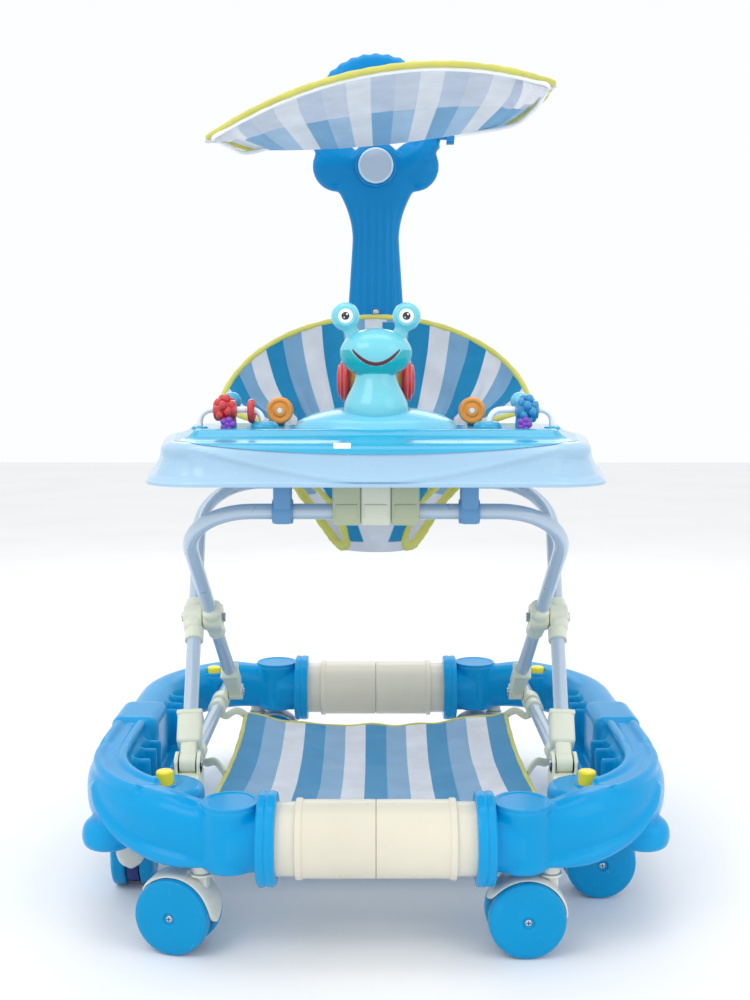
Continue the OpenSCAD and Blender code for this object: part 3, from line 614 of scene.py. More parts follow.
def lip_point(s, angle, out, z):
    a = math.radians(angle)
    radius = RING_R + out
    return Vector((RING_X - RING_R + radius * math.cos(a), -s * (radius * math.sin(a) - (BAR_Y - RING_R)), z))


def base_shell():
    """Right moulded side of the ring, run together as one skin."""
    p = Piece()
    rim = [q - Z_AXIS * 7 * near_cup(q) for q in ring_path(RING_R, RING_Z, count=24)]

    def section(t):
        slim = near_cup(rim[round(t * (len(rim) - 1))])
        return oval(RING_W / 2 - 3.5 * slim, RING_H / 2 - 3.5 * slim, 28, 2.5)
    p.sweep(rim, section, SHELL_BLUE, up=Z_AXIS)
    for s in (-1, 1):
        p.lathe([(0, 82), (CUP_R - 3, 82), (CUP_R, 88), (CUP_R, 146), (0, 146)], SHELL_BLUE,
                (CUP_X, s * BAR_Y, 0),
                fillet=2)
        p.rod((FLANGE_X[1] - 6, s * BAR_Y, BAR_Z), (CUP_X, s * BAR_Y, BAR_Z), 31, SHELL_BLUE)
        p.lathe([(0, 80), (25, 80), (28, 92), (25, 106), (0, 113)], SHELL_BLUE, (266, s * 220, 0), fillet=7)
        p.sweep(smooth_path([lip_point(s, *spot) for spot in LIP], 48),
                lambda t: oval(2.5 + 4.5 * step(t, 0, 0.35), 2.5 + 5 * step(t, 0, 0.35),
                               16), SHELL_BLUE, up=Z_AXIS)
    for (x, y), radius, low, high, fillet in zip(SOCKETS, (40, 14), (95, 97), (136, 144), (9, 3)):
        p.lathe([(0, low), (radius, low), (radius, high), (0, high)], SHELL_BLUE, (x, y, 0), fillet=fillet)
    p.box((250, -40, 90), (304, 46, 157), SHELL_BLUE, 11)
    for offset in (-13, 12):
        ridge = ring_path(RING_R + offset, 149.5, -52, 0)
        ridge += [Vector((RING_X + offset, y, 152)) for y in (-110, -70, -42)]
        p.sweep(ridge, oval(5.5, 6, 14), SHELL_BLUE, up=Z_AXIS)
    p.box((236, -150, 84), (276, 150, 92), SHELL_BLUE, 3)
    for y in (-128, -92, -62, 66, 96, 128):
        p.box((240, y - 2.5, 86), (266, y + 2.5, 140), SHELL_BLUE, 1.2)
    p.melt("base_shell", 2.3, 4)
    return p


def flanges(p):
    """Round collars and flat cup caps at both ends of a side shell."""
    low, high = FLANGE_X
    for s in (-1, 1):
        profile = [(CORE_R + 0.2, low), (FLANGE_R - 1, low), (FLANGE_R, low + 3), (FLANGE_R, low + 8),
                   (FLANGE_R - 1.2, low + 9.5), (FLANGE_R, low + 11), (FLANGE_R, high - 2), (FLANGE_R - 3,
                                                                                             high),
                   (26, high), (26, low + 4), (CORE_R + 0.2, low + 4)]
        p.lathe(profile, SHELL_BLUE, (0, s * BAR_Y, BAR_Z), X_AXIS, 72, 0.9, closed=True)
        p.lathe([(0, 144), (CUP_R - 0.6, 144), (CUP_R - 0.6, CUP_TOP - 0.6), (CUP_R - 4.5, CUP_TOP - 0.6),
                 (CUP_R - 6, CUP_TOP - 1.6), (0, CUP_TOP - 1.2)], SHELL_BLUE, (CUP_X, s * BAR_Y,
                                                                               0), count=64, fillet=1.2)
    return p


def side_shells():
    right = base_shell()
    left = right.mirrored()
    for side, name, p in ((1, "right", right), (-1, "left", left)):
        made = p.done(f"side_shell_{name}", None, sharp=60)
        cut_holes(made, [((side * x, y, 160), SOCKET_R, 50) for x, y in SOCKETS])
        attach(made, "root")
        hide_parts(f"base_shell_{name}")
        collar = flanges(Piece())
        for (x, y), z in zip(SOCKETS, (135, 143)):
            collar.lathe([(9.6, z), (13.5, z), (12.5, z + 2.4), (9.6, z + 2.4)], SHELL_BLUE, (x, y, 0),
                         fillet=0.6, closed=True)
        collar = collar if side > 0 else collar.mirrored()
        collar.done(f"side_shell_collars_{name}", "root", slot="shell_blue")


def cross_bars():
    for s, name in ((-1, "front"), (1, "rear")):
        p = Piece()
        end = FLANGE_X[1] - 3
        p.lathe([(CORE_R - 3, -end), (CORE_R, -end), (CORE_R, end), (CORE_R - 3, end)], CREAM,
                (0, s * BAR_Y, BAR_Z), X_AXIS, 72, closed=True)
        p.done(f"{name}_core_tube", "root", [f"{name}_cross_tube"], "cream_plastic")
    p = Piece()
    for s in (-1, 1):
        for side in (-1, 1):
            profile = [(CORE_R + 0.1, 0.3), (SLEEVE_R - 0.5, 0.3), (SLEEVE_R, 1), (SLEEVE_R, SLEEVE_END - 7),
                       (SLEEVE_R + 1.5, SLEEVE_END - 6), (SLEEVE_R + 1.5, SLEEVE_END - 1),
                       (SLEEVE_R + 0.6, SLEEVE_END), (CORE_R + 0.1, SLEEVE_END)]
            p.lathe(profile, CREAM, (0, s * BAR_Y, BAR_Z), X_AXIS * side, 72, 0.5, closed=True)
    p.done("grip_sleeves", "root", ["bar_sleeves"], "cream_plastic")


def button(name):
    low, high = low_high("button_" + name)
    centre, height = (low + high) / 2, high.z - low.z
    p = Piece()
    p.lathe([(0, 0), (9, 0), (9, height - 1.5), (7.2, height), (0, height)], YELLOW,
            (centre.x, centre.y, low.z), fillet=1.6)
    p.done(f"{name}_button", f"button_{name}", [f"button_{name}"], "button_yellow")


# ---------------------------------------------------------------- casters

def wheel_profile(inner, outer):
    """Half of a twin wheel: hidden inner face, tread with eased edges, domed disc and a screw recess."""
    return [(0, inner), (WHEEL_R - 4, inner), (WHEEL_R - 0.6, inner + 1.5), (WHEEL_R, inner + 4),
            (WHEEL_R, outer - 6), (WHEEL_R - 0.8, outer - 3.6), (WHEEL_R - 2.8, outer - 2.2),
            (WHEEL_R - 4.4, outer - 2.0), (WHEEL_R - 5.2, outer - 1.5), (24, outer - 0.7), (12, outer - 0.15),
            (6.8, outer), (6.0, outer - 0.6), (5.4, outer - 2.0), (0, outer - 2.2)]


def caster(name, swivel, yaw):
    """One caster: twin wheels on their axle, and their fork."""
    place = Matrix.Translation((swivel.x, swivel.y, 0)) @ Matrix.Rotation(yaw, 4, "Z")
    hub = Vector((-TRAIL, 0, WHEEL_R))
    p = Piece()
    for side in (-1, 1):
        p.lathe(rounded(wheel_profile(7, 24), 0.8), WHEEL_BLUE, hub, Y_AXIS * side, 72)
        face = hub + Y_AXIS * side * 21.6
        p.lathe([(0, 0), (3.4, 0), (3.4, 0.9), (2.6, 1.5), (0, 1.6)], ZINC, face, Y_AXIS * side, 24, 0.3)
        # navy cross on each zinc screw head: painted shade of its cross recess
        for a, b in ((2.2, 0.5), (0.5, 2.2)):
            p.box((-a, -b, 1.35), (a, b, 1.75), NAVY, 0.1, Matrix.Translation(face) @ turned(Y_AXIS * side),
                  1)
    p.rod(hub - Y_AXIS * 21, hub + Y_AXIS * 21, 3, ZINC)
    p.done(f"{name}_wheels", f"wheels_{name}", [f"caster_wheels_{name}"], "wheel_blue", place=place)
    caster_fork(name, place, hub)


def caster_fork(name, place, hub):
    """The fork between the wheels, its pin and its hood."""
    p = Piece()
    core = [(3.05, -6), (WHEEL_R - 3.4, -6), (WHEEL_R - 3, -5), (WHEEL_R - 3, 5), (WHEEL_R - 3.4, 6),
            (3.05, 6)]
    p.lathe(core, NAVY, hub, Y_AXIS, 72, closed=True)
    p.lathe([(0, 76.5), (5, 76.5), (5, 101.6), (4, 102.6), (0, 102.6)], ZINC, fillet=0.4)
    p.lathe([(0, 73), (7, 73), (10.8, 75), (10.8, 77.2), (0, 77.4)], HOOD, fillet=0.6)
    arc = [hub + Vector((math.cos(a), 0, math.sin(a))) * (WHEEL_R + 2.2) for a in steps(44, -0.16, 2.72)]

    def strip(t):
        half = 16.5 * math.sqrt(max(0.02, 1 - (abs(2 * t - 1)) ** 6))
        return [(a + 1.1 * (b / half) ** 4, b) for a, b in oval(1.25, half, 28, 3.4)]
    p.sweep(arc, strip, HOOD, up=Y_AXIS)
    p.box((-3, -5, 46), (7, 5, 75), HOOD, 1.5)
    p.done(f"{name}_fork", f"caster_{name}", [f"caster_fork_{name}"], "caster_core", place=place)


def casters():
    yaws = dict(zip(CORNERS, (-16, 2, -86, 4, -75, -95, 180, 8)))
    for name in CORNERS:
        joint = next(j for j in frame["joints"] if j["name"] == f"swivel_{name}")
        caster(name, Vector(joint["pos_m"]) / TO_METRES, math.radians(yaws[name]))
    repaint("caster_sockets", HOOD)


# ---------------------------------------------------------------- rails, brackets and mat

def mat_rails():
    p = Piece()
    for side in (-1, 1):
        path = [Vector((side * RAIL_X, y, RAIL_Z)) for y in (-135, 240)]
        p.pipe(path, TUBE_R, TUBE_PAINT, count=36)
    p.done("mat_rails", "root", ["side_rails"], "tube_paint")


def foot_brackets():
    p = Piece()
    for side in (-1, 1):
        x = side * (RAIL_X - 2)
        p.box((x - 13.5, -172, 109), (x + 13.5, -122, 131), JOINT_CREAM, 4)
        for cheek in (-1, 1):
            centre = x + cheek * 11.7
            p.box((centre - 1.8, -157, 128), (centre + 1.8, -133, 144), JOINT_CREAM, 1.5)
            p.rod((centre - 1.8, -FOOT_Y, FOOT_Z), (centre + 1.8, -FOOT_Y, FOOT_Z), 11.5, JOINT_CREAM)
    p.done("front_foot_brackets", "root", ["foot_brackets"], "joint_plastic")


def foot_pins():
    p = Piece()
    for side in (-1, 1):
        x = side * (RAIL_X - 2)
        p.rod((x - 15, -FOOT_Y, FOOT_Z), (x + 15, -FOOT_Y, FOOT_Z), 3, ZINC)
        for end in (-1, 1):
            p.lathe([(0, 0), (5, 0), (4.6, 1.6), (2, 2.4), (0, 2.6)], ZINC,
                    (x + end * 13.6, -FOOT_Y, FOOT_Z), X_AXIS * end, 24, 0.4)
    p.done("foot_pivot_pins", "root", ["foot_pins"], "zinc_steel")


def mat_straps():
    p = Piece()
    for side in (-1, 1):
        for y, corner_y in ((-70, -96), (112, 132)):
            p.lathe([(TUBE_R, -8), (11, -8), (11, 8), (TUBE_R, 8)], JOINT_CREAM, (side * RAIL_X, y, RAIL_Z),
                    Y_AXIS,
                    40, 0.8, closed=True)
            arm = [Vector((side * x, lerp(y, corner_y, t), z)) for t, x, z in
                   ((0, 194, 119), (0.12, 189, 116.5), (0.3, 184, 119), (0.5, 178, 121), (0.75, 172, 118),
                    (1, 166, 112))]
            p.sweep(smooth_path(arm, 24), oval(2.0, 4.6, 16, 2.6), JOINT_CREAM, up=Z_AXIS)
    p.done("mat_straps", "root", ["mat_hooks"], "joint_plastic")


def sliders():
    for side, name in SIDES:
        p = Piece()
        p.lathe([(TUBE_R + 0.1, -11), (11, -11), (11.6, -7), (11.6, 7), (11, 11), (TUBE_R + 0.1, 11)],
                JOINT_CREAM,
                (side * RAIL_X, FOOT_Y, RAIL_Z), Y_AXIS, 40, 0.8, closed=True)
        low, high = sorted((side * 189.4, side * 194))
        p.box((low, FOOT_Y - 9, RAIL_Z - 4), (high, FOOT_Y + 9, FOOT_Z + 9), JOINT_CREAM, 2)
        p.rod((side * 171, FOOT_Y, FOOT_Z), (side * 190, FOOT_Y, FOOT_Z), 3, ZINC)
        p.lathe([(0, 0), (5, 0), (4.4, 2), (0, 2.6)], ZINC, (side * 171.3, FOOT_Y, FOOT_Z), X_AXIS * -side,
                24, 0.4)
        p.done(f"rail_slider_{name}", f"slider_{name}", [f"slider_{name}"], "joint_plastic")


def smooth_path(points, count):
    """Even points on a smooth curve through the given ones."""
    out = []
    for i in range(len(points) - 1):
        a, b = points[max(i - 1, 0)], points[i]
        c, d = points[i + 1], points[min(i + 2, len(points) - 1)]
        share = max(2, round(count / (len(points) - 1)))
        for t in steps(share)[:-1]:
            out.append(0.5 * ((2 * b) + (c - a) * t + (2 * a - 5 * b + 4 * c - d) * t * t
                              + (3 * b - a - 3 * c + d) * t ** 3))
    return out + [points[-1]]


def mat_point(u, v):
    """Sagging mat between its rails: u across and v from front to back, both 0 to 1."""
    w = 2 * u - 1
    half = 167 * (1 - 0.03 * math.sin(math.pi * v))
    end = (1 if v > 0.5 else -0.4) * 13 * (1 - w * w) * abs(2 * v - 1)
    sag = 25 * (1 - w * w) * (0.55 + 0.45 * math.sin(math.pi * v))
    y = lerp(-181, 141, v) - end
    edge = min(1, 6 * (1 - abs(w)))
    wave = 1.5 * math.sin(v * 9 + 2.5 * math.sin(u * 7)) + 1.1 * math.sin(u * 31 + 3 * v) * math.sin(v * 5)
    wave += 2.2 * noise.noise(Vector((u * 4.0, v * 6.0, 3.1)))
    wave += 1.2 * math.sin(u * 13 * math.pi) * (0.3 + 0.7 * math.sin(v * 11) ** 2) * edge * 0.5
    return Vector((half * w, y, 112 - sag + wave * edge * 0.9))


def mat():
    p = Piece()
    p.sheet(mat_point, 104, 72, MAT_CLOTH, thick=1.4, size=(0.345, 0.335), stripe=lambda u, v: u * 12.999)
    rim = [mat_point(u, 0) for u in steps(60)] + [mat_point(1, v) for v in steps(50)[1:]]
    rim += [mat_point(u, 1) for u in steps(60, 1, 0)[1:]] + [mat_point(0, v) for v in steps(50, 1, 0)[1:-1]]
    binding = Piece()
    binding.piping(rim, 2.6, closed=True)
    edge = binding.done("foot_mat_binding", "root", slot="stripe_fabric")
    made = p.done("striped_foot_mat", "root", ["foot_mat"], "stripe_fabric")


# ---------------------------------------------------------------- folding frame

def slope_place(mirror=False):
    """From a tube's own plane, X across and Y along the legs, to its place at rest."""
    place = Matrix.Translation((0, -FOOT_Y, FOOT_Z)) @ Matrix.Rotation(SLOPE, 4, "X")
    return Matrix.Scale(-1, 4, Y_AXIS) @ place if mirror else place


def lean_of(leg):
    return math.atan2(leg[1] - leg[0], math.hypot(FOOT_Y, JOINT_Z - FOOT_Z))


def bent_tube_path(leg):
    """Centreline of a bent leg tube in its own plane, from foot to foot."""
    lean = lean_of(leg)
    arc_y = LEG_LEN - BEND_R
    arc_x = leg[0] + (arc_y - BEND_R * math.sin(lean)) * math.tan(lean) - BEND_R * math.cos(lean)
    right = [Vector((leg[0] + 8 * math.sin(lean), 8 * math.cos(lean), 0))]
    right += [Vector((arc_x + BEND_R * math.cos(t), arc_y + BEND_R * math.sin(t), 0))
              for t in steps(20, -lean, math.pi / 2)]
    return right + [Vector((-p.x, p.y, 0)) for p in reversed(right)]


def frame_tube(letter, leg, mirror):
    """One bent tube with its joint collars and foot boots."""
    place = slope_place(mirror)
    p = Piece()
    p.pipe([place @ q for q in bent_tube_path(leg)], TUBE_R, TUBE_PAINT, count=36)
    p.done(f"bent_leg_tube_{letter}", f"frame_{letter}", [f"frame_tube_{letter}"], "tube_paint")
    joint_collars(letter, leg, place)
    leg_boots(letter, leg, place)


def joint_collars(letter, leg, place):
    joint_at = math.hypot(FOOT_Y, JOINT_Z - FOOT_Z)
    lean = lean_of(leg)
    p = Piece()
    for side in (-1, 1):
        low, high = ((200.4, 222), (178, 199.6))[letter == "b"]
        near, far = sorted((side * low, side * high))
        p.box((near, joint_at - 22, -12.5), (far, joint_at + 24, 12.5), JOINT_CREAM, 8, place, 5)
        axis = place.to_3x3() @ X_AXIS
        p.lathe([(0, near - (1 if side * near < 0 else 0)), (14.5, near), (15.2, near + 2), (15.2, far - 2),
                 (14.5, far), (0, far)], JOINT_CREAM, place @ Vector((0, joint_at, 0)), axis, 48, 1.2)
        collar = [place @ Vector((side * (leg[0] + s * math.sin(lean)), s * math.cos(lean), 0))
                  for s in (joint_at - 34, joint_at - 18)]
        p.pipe(collar, TUBE_R + 2.6, JOINT_CREAM, count=36)
    p.done(f"scissor_collars_{letter}", f"frame_{letter}", [f"joint_sleeves_{letter}"], "joint_plastic")


def leg_boots(letter, leg, place):
    p = Piece()
    name, boot, depth = (("front", 26, 22), ("rear", 20, 20))[letter == "b"]
    for side in (-1, 1):
        turn = place @ Matrix.Translation((side * leg[0], 0, 0)) @ Matrix.Rotation(-side * lean_of(leg), 4,
                                                                                   "Z")
        p.box((-boot / 2, 20, -depth / 2), (boot / 2, 62, depth / 2), JOINT_CREAM, 4.5, turn)
        p.box((-boot / 2 - 0.9, 54, -depth / 2 - 0.9), (boot / 2 + 0.9, 60, depth / 2 + 0.9), JOINT_CREAM, 2,
              turn)
        p.box((-8.4, -2, -8), (8.4, 24, 8), JOINT_CREAM, 3, turn)
        p.rod(place @ Vector((side * leg[0] - 8.5, 0, 0)), place @ Vector((side * leg[0] + 8.5, 0, 0)), 10,
              JOINT_CREAM)
    p.done(f"{name}_leg_boots", f"frame_{letter}", [f"{name}_shoes"], "joint_plastic")


def scissor_bolts():
    p = Piece()
    for side in (-1, 1):
        p.rod((side * 176, 0, JOINT_Z), (side * 223, 0, JOINT_Z), 3, ZINC)
        p.lathe([(0, 0), (6, 0), (5.6, 2), (3, 3), (0, 3.2)], ZINC, (side * 222.6, 0, JOINT_Z),
                X_AXIS * side, 32, 0.5)
        p.lathe([(0, 0), (6, 0), (6, 3), (0, 3.4)], ZINC, (side * 177.4, 0, JOINT_Z), X_AXIS * -side, 6, 0.2)
    p.done("scissor_bolts", "frame_a", ["joint_bolts"], "zinc_steel")


# ---------------------------------------------------------------- tray

def tray_outline(count=360):
    """Even points round the tray's lower edge from the rear middle, each with its outward direction."""
    circles = [(s * x, y, r) for x, y, r in ((172, -188, 56), (150, -30, 100), (110, 165, 82)) for s in (-1,
                                                                                                         1)]
    raw = []
    for a in steps(1440, 0, math.tau)[:-1]:
        n = Vector((math.sin(a), math.cos(a)))
        x, y, r = max(circles, key=lambda c: c[0] * n.x + c[1] * n.y + c[2])
        raw.append((Vector((x, y)) + n * r, n))
    raw.append(raw[0])
    length = [0.0]
    for (a, _), (b, _) in zip(raw, raw[1:]):
        length.append(length[-1] + (b - a).length)
    out = []
    k = 0
    for want in steps(count, 0, length[-1])[:-1]:
        while length[k + 1] < want:
            k += 1
        t = (want - length[k]) / max(1e-9, length[k + 1] - length[k])
        out.append((raw[k][0].lerp(raw[k + 1][0], t), raw[k][1].lerp(raw[k + 1][1], t).normalized()))
    return out


def seat_outline(grow, count=280):
    """Even-angled points round the seat opening, starting at the rear middle."""
    out = []
    for a in steps(count, 0, math.tau)[:-1]:
        n = Vector((math.sin(a), math.cos(a)))
        out.append(Vector((math.copysign(SEAT_DX, n.x) if abs(n.x) > 1e-6 else 0,
                           SEAT_Y)) + n * (SEAT_R + grow))
    return out


SHOULDER_Z, SHOULDER_IN = 470, 12.5
DECK_RISE = 8.6


def skirt_relief(x, y, z):
    """Outward relief of the tray's skirt: a ridge that dips across the front like a smile, and pockets."""
    front = step(-y, 120, 190)
    smile = 447 + 31 * min(1, abs(x) / 175) ** 1.6
    ridge = 3.6 * bump(z, smile, 3.6) * front * step(200 - abs(x), 0, 30)
    above = 2.6 * step(z, smile, smile + 7) * front * step(190 - abs(x), 0, 20)
    pocket = -5.5 * step(abs(x), 166, 190) * step(z, 447, 453) * (1 - step(z, 464, 480)) * front
    return ridge + above + pocket


def skirt_inset(z):
    """How far the skirt stands in from the tray's lower edge at a height above the flange."""
    t = (z - TRAY_LOW - 5) / (SHOULDER_Z - TRAY_LOW - 5)
    if t < 1:
        return lerp(3.2, SHOULDER_IN, t) + 2 * math.sin(math.pi * t)
    rise = min(1, (z - SHOULDER_Z) / (TRAY_TOP - 1.6 - SHOULDER_Z))
    return SHOULDER_IN + 22 * (1 - math.sqrt(1 - rise ** 2))


def skirt_spot(q, n, z, lift=0.0):
    """Point on the skirt's outside under an edge point q with direction n, lifted outwards."""
    inset = skirt_inset(z)
    base = q - n * inset
    return Vector((*(base + n * (min(skirt_relief(base.x, base.y, z), inset - 0.5) + lift)), z))


def inside(edge, inset, z):
    """The tray's edge drawn in by inset, at a height."""
    return [Vector((*(q - n * inset), z)) for q, n in edge]


def tray_shell():
    edge = tray_outline(560)
    flange = ((3, TRAY_LOW + 0.5), (0.3, TRAY_LOW), (0, TRAY_LOW + 1), (0.2, TRAY_LOW + 3),
              (2.2, TRAY_LOW + 4.2))
    shoulder = [SHOULDER_Z + (TRAY_TOP - 1.6 - SHOULDER_Z) * math.sin(t) for t in steps(9, 0.2, math.pi / 2)]
    rows = [inside(edge, *spot) for spot in flange]
    rows += [[skirt_spot(q, n, z) for q, n in edge] for z in steps(16, TRAY_LOW + 5, SHOULDER_Z) + shoulder]
    rows += [inside(edge, *spot) for spot in ((37, 484.4), (40, 484.8), (44, 485))]
    p = Piece()
    verts = p.grid(rows, TRAY_BLUE, around=True)
    throat = ((4, 485), (2.2, 485), (0.6, 484.4), (0, 483), (0, 446), (0.6, 443.4), (3, 443.2))
    well = p.grid([[Vector((*q, z)) for q in seat_outline(grow)] for grow, z in throat], TRAY_BLUE,
                  around=True)
    rims = [pair for line in (verts[-1], well[0]) for pair in zip(line, line[1:] + line[:1])]
    deck = bmesh.ops.bridge_loops(p.bm, edges=[p.bm.edges.get(pair) for pair in rims])
    p.paint(deck["faces"], TRAY_BLUE)
    under = ((3, 441.5), (7, 446), (17, 468), (34, 480.4), (44, 482))
    p.grid([inside(edge, *spot) for spot in under], TRAY_BLUE, around=True)
    p.done("play_tray", "tray", ["tray_shell"], "tray_pale_blue")


def crossbar_clamp():
    y = -CROSSBAR_Y
    p = Piece()
    for x0, x1, olive in ((-44, -15.4, CLAMP_OLIVE), (-15, 15, JOINT_CREAM), (15.4, 44, CLAMP_OLIVE)):
        p.box((x0, y - 15, CROSSBAR_Z - 13), (x1, y + 15, TRAY_LOW + 4), olive, 3)
        p.box((x0 + 3, y - 16.2, CROSSBAR_Z - 5), (x1 - 3, y - 13, CROSSBAR_Z + 9), olive, 1.4)
    p.box((-30, y - 12, TRAY_LOW), (30, y + 12, TRAY_TOP - 3), CLAMP_OLIVE, 2)
    p.done("crossbar_clamp", "tray", ["tray_clamp"], "joint_plastic")


def crossbar_hooks():
    y = -CROSSBAR_Y
    p = Piece()
    for side in (-1, 1):
        low, high = sorted((side * 86, side * 104))
        p.box((low, y - 12, CROSSBAR_Z - 12), (high, y + 12, TRAY_TOP - 3), BRACKET_BLUE, 2.5)
        p.rod((low - 1.5, y, CROSSBAR_Z), (high + 1.5, y, CROSSBAR_Z), 12.5, BRACKET_BLUE, 1.2)
    p.done("crossbar_hooks", "tray", ["tray_hooks"], "bracket_blue")


def mound_point(t, a):
    """Long dome under the snail, with t 0 at its top and 1 at its foot, and its front slope the longer one."""
    reach = 66 if math.sin(a) < 0 else 34
    return Vector((85 * t * math.cos(a), TOY_Y + 22 + reach * t * math.sin(a),
                   493 + 23 * (1 - t * t) ** 0.55))


def apron(q, n):
    """Deck border at one place: a lip that hangs over the tray's shoulder, deepest at the front middle."""
    low = TRAY_TOP - 2 - 11 * max(0, 1 - (q.x / 188) ** 2) * step(-q.y, 60, 200)
    down = [skirt_spot(q, n, low, -0.8)] + [skirt_spot(q, n, lerp(low, TRAY_TOP - 1.7, t),
                                                       1.5) for t in steps(8)]
    top = ((40, 1.6), (44, 4.2), (47, 7.2), (50, 8.6), (54, 9), (57, 8.2), (60, DECK_RISE))
    return down + [Vector((*(q - n * inset), TRAY_TOP + rise)) for inset, rise in top]


def deck_rear(q):
    """Point of the deck's rear edge, round the seat opening, that faces an edge point q."""
    a = math.atan2(q.x, -q.y)
    d = Vector((math.sin(a), -math.cos(a)))
    x = d.x * 8 + math.copysign(SEAT_DX, d.x) * min(1, abs(d.x) * 6) + d.x * SEAT_R
    return Vector((x, min(SEAT_Y + d.y * (SEAT_R + 8), -42)))


def toy_deck():
    """Cyan play deck with its mound, domes, posts and flowers."""
    outer = [(q, n) for q, n in tray_outline(560) if q.y < -60]
    outer.sort(key=lambda item: math.atan2(item[0].x, -item[0].y))
    p = Piece()
    rows = [list(row) for row in zip(*(apron(q, n) for q, n in outer))]
    rear = [deck_rear(q) for q, n in outer]
    border = rows[-1]
    rows += [[r.lerp(Vector((*v, TRAY_TOP + DECK_RISE)), t) for r, v in zip(border, rear)] for t in steps(10)]
    rows += [[Vector((v.x, v.y + 0.8, z)) for v in rear] for z in (TRAY_TOP + 7, TRAY_TOP)]
    p.grid(rows, TOY_CYAN)
    p.grid([[mound_point(t, a) for a in steps(120, 0, math.tau)[:-1]] for t in steps(24, 1, 0)], MOUND_CYAN,
           around=True)
    for side in (-1, 1):
        p.lathe([(0, 492), (15, 492), (14.6, 496), (11, 500), (0, 501)], TOY_CYAN, (side * 114, TOY_Y, 0),
                fillet=3)
        p.lathe([(0, 492), (9, 492), (8, 495), (0, 496)], TOY_CYAN, (side * 180, TOY_Y, 0), fillet=1.5)
        x0, x1 = sorted((side * 97, side * 105))
        p.box((x0, -104, 492), (x1, -98, 515), TOY_CYAN, 2)
        p.rod((side * 101, -115, 510), (side * 101, -101, 510), 3, TOY_WHITE)
        p.lathe([(0, 492), (5, 492), (3.5, 512), (0, 513)], TOY_CYAN, (side * 150, -122, 0), fillet=1)
        p.ball((side * 150, -122, 520), (10, 10, 9.5), TOY_CYAN if side < 0 else MOUND_CYAN)
        for k in range(6):
            a = math.tau * k / 5
            petal = (0, 0) if k == 5 else (4.6 * math.cos(a), 4.6 * math.sin(a))
            p.ball((side * 150 + petal[0], TOY_Y - 14, 497.5 + petal[1]), (3.6, 3.4, 3.6), PURPLE, 16)
    p.box((-41, -232, 476), (-24, -224, 482.5), TOY_WHITE, 1.2)
    p.done("play_deck", "tray", ["toy_tray"], "toy_cyan")


# ---------------------------------------------------------------- snail and small toys

HEAD = Vector((0, TOY_Y, 569))
HEAD_SIZE = Vector((37, 31, 25.5))


def smile_z(x):
    return 558.5 + 13.5 * min(1.2, (x / 23.5) ** 2)


def on_head(x, z, lift=0.0):
    """Point on the front of the head, lifted outwards."""
    share = 1 - (x / HEAD_SIZE.x) ** 2 - ((z - HEAD.z) / HEAD_SIZE.z) ** 2
    return Vector((x, HEAD.y - HEAD_SIZE.y * math.sqrt(max(0, share)) - lift, z))


def snail():
    p = Piece()
    gourd = [(0, 495), (18, 496), (27, 500), (32, 507), (33.3, 514), (32, 520), (28.3, 528), (24, 536),
             (21, 544),
             (20.5, 550), (0, 556)]
    p.lathe(gourd, AQUA, (0, TOY_Y, 0), fillet=3)
    p.ball(HEAD, HEAD_SIZE, AQUA)
    for side in (-1, 1):
        p.rod((side * 22, TOY_Y + 1, 580), (side * 30, TOY_Y, 606), 7.0, AQUA, 3)
        p.ball((side * 31, TOY_Y, 606), (14.6, 13, 14.6), AQUA)
    p.box((-10, TOY_Y, 508), (10, SHELL_Y + 8, 535), AQUA, 4)
    p.lathe([(0, -11), (13, -11), (13, 11), (0, 11)], AQUA, (0, SHELL_Y, SHELL_Z), X_AXIS, fillet=2)
    p.melt("snail", 1.5, 3)
    p.materials.append(AQUA_DEEP)
    for face in p.bm.faces:
        c = face.calc_center_median()
        if 544 < c.z < smile_z(c.x) - 3 and Vector((c.x, c.y - TOY_Y)).length > 20.5 + 0.7 * max(0,
                                                                                                 548 - c.z):
            face.material_index = 1
    p.done("snail_figure", "tray", ["snail_body"], "snail_aqua", sharp=80)


def snail_face():
    p = Piece()
    mouth = [on_head(23.5 * t, smile_z(23.5 * t), -0.7) for t in steps(36, -1, 1)]
    p.sweep(mouth, lambda t: oval(0.5 + 1.9 * math.sin(math.pi * t) ** 0.6, 1.6, 14), MOUTH_RED,
            up=Vector((0, -1, 0.2)))
    for side in (-1, 1):
        eye = Vector((side * 30.5, TOY_Y - 11.4, 606))
        ahead = Vector((side * 0.04, -1, 0.04))
        p.lathe([(0, -3), (10.2, -3), (10.4, 0.4), (9.4, 1.8), (8.6, 1.4), (0, 1.2)], AQUA, eye, ahead, 48,
                0.5)
        p.lathe([(0, 0), (7.7, 0.6), (7.2, 2.1), (5, 3.0), (0, 3.3)], TOY_WHITE, eye, ahead, 48, 0.8)
        p.lathe([(0, 2.6), (4.1, 2.6), (3.9, 3.6), (2, 4.1), (0, 4.2)], PUPIL, eye, ahead, 32, 0.4)
        # two small white discs on each pupil are painted highlights
        for dx, dz, r in ((1.5, 1.7, 1.0), (-1.3, -1.4, 0.7)):
            p.ball(eye + Vector((dx, -4.1, dz)), (r, 0.5, r), TOY_WHITE, 12)
    p.done("snail_face", "tray", slot="toy_white")


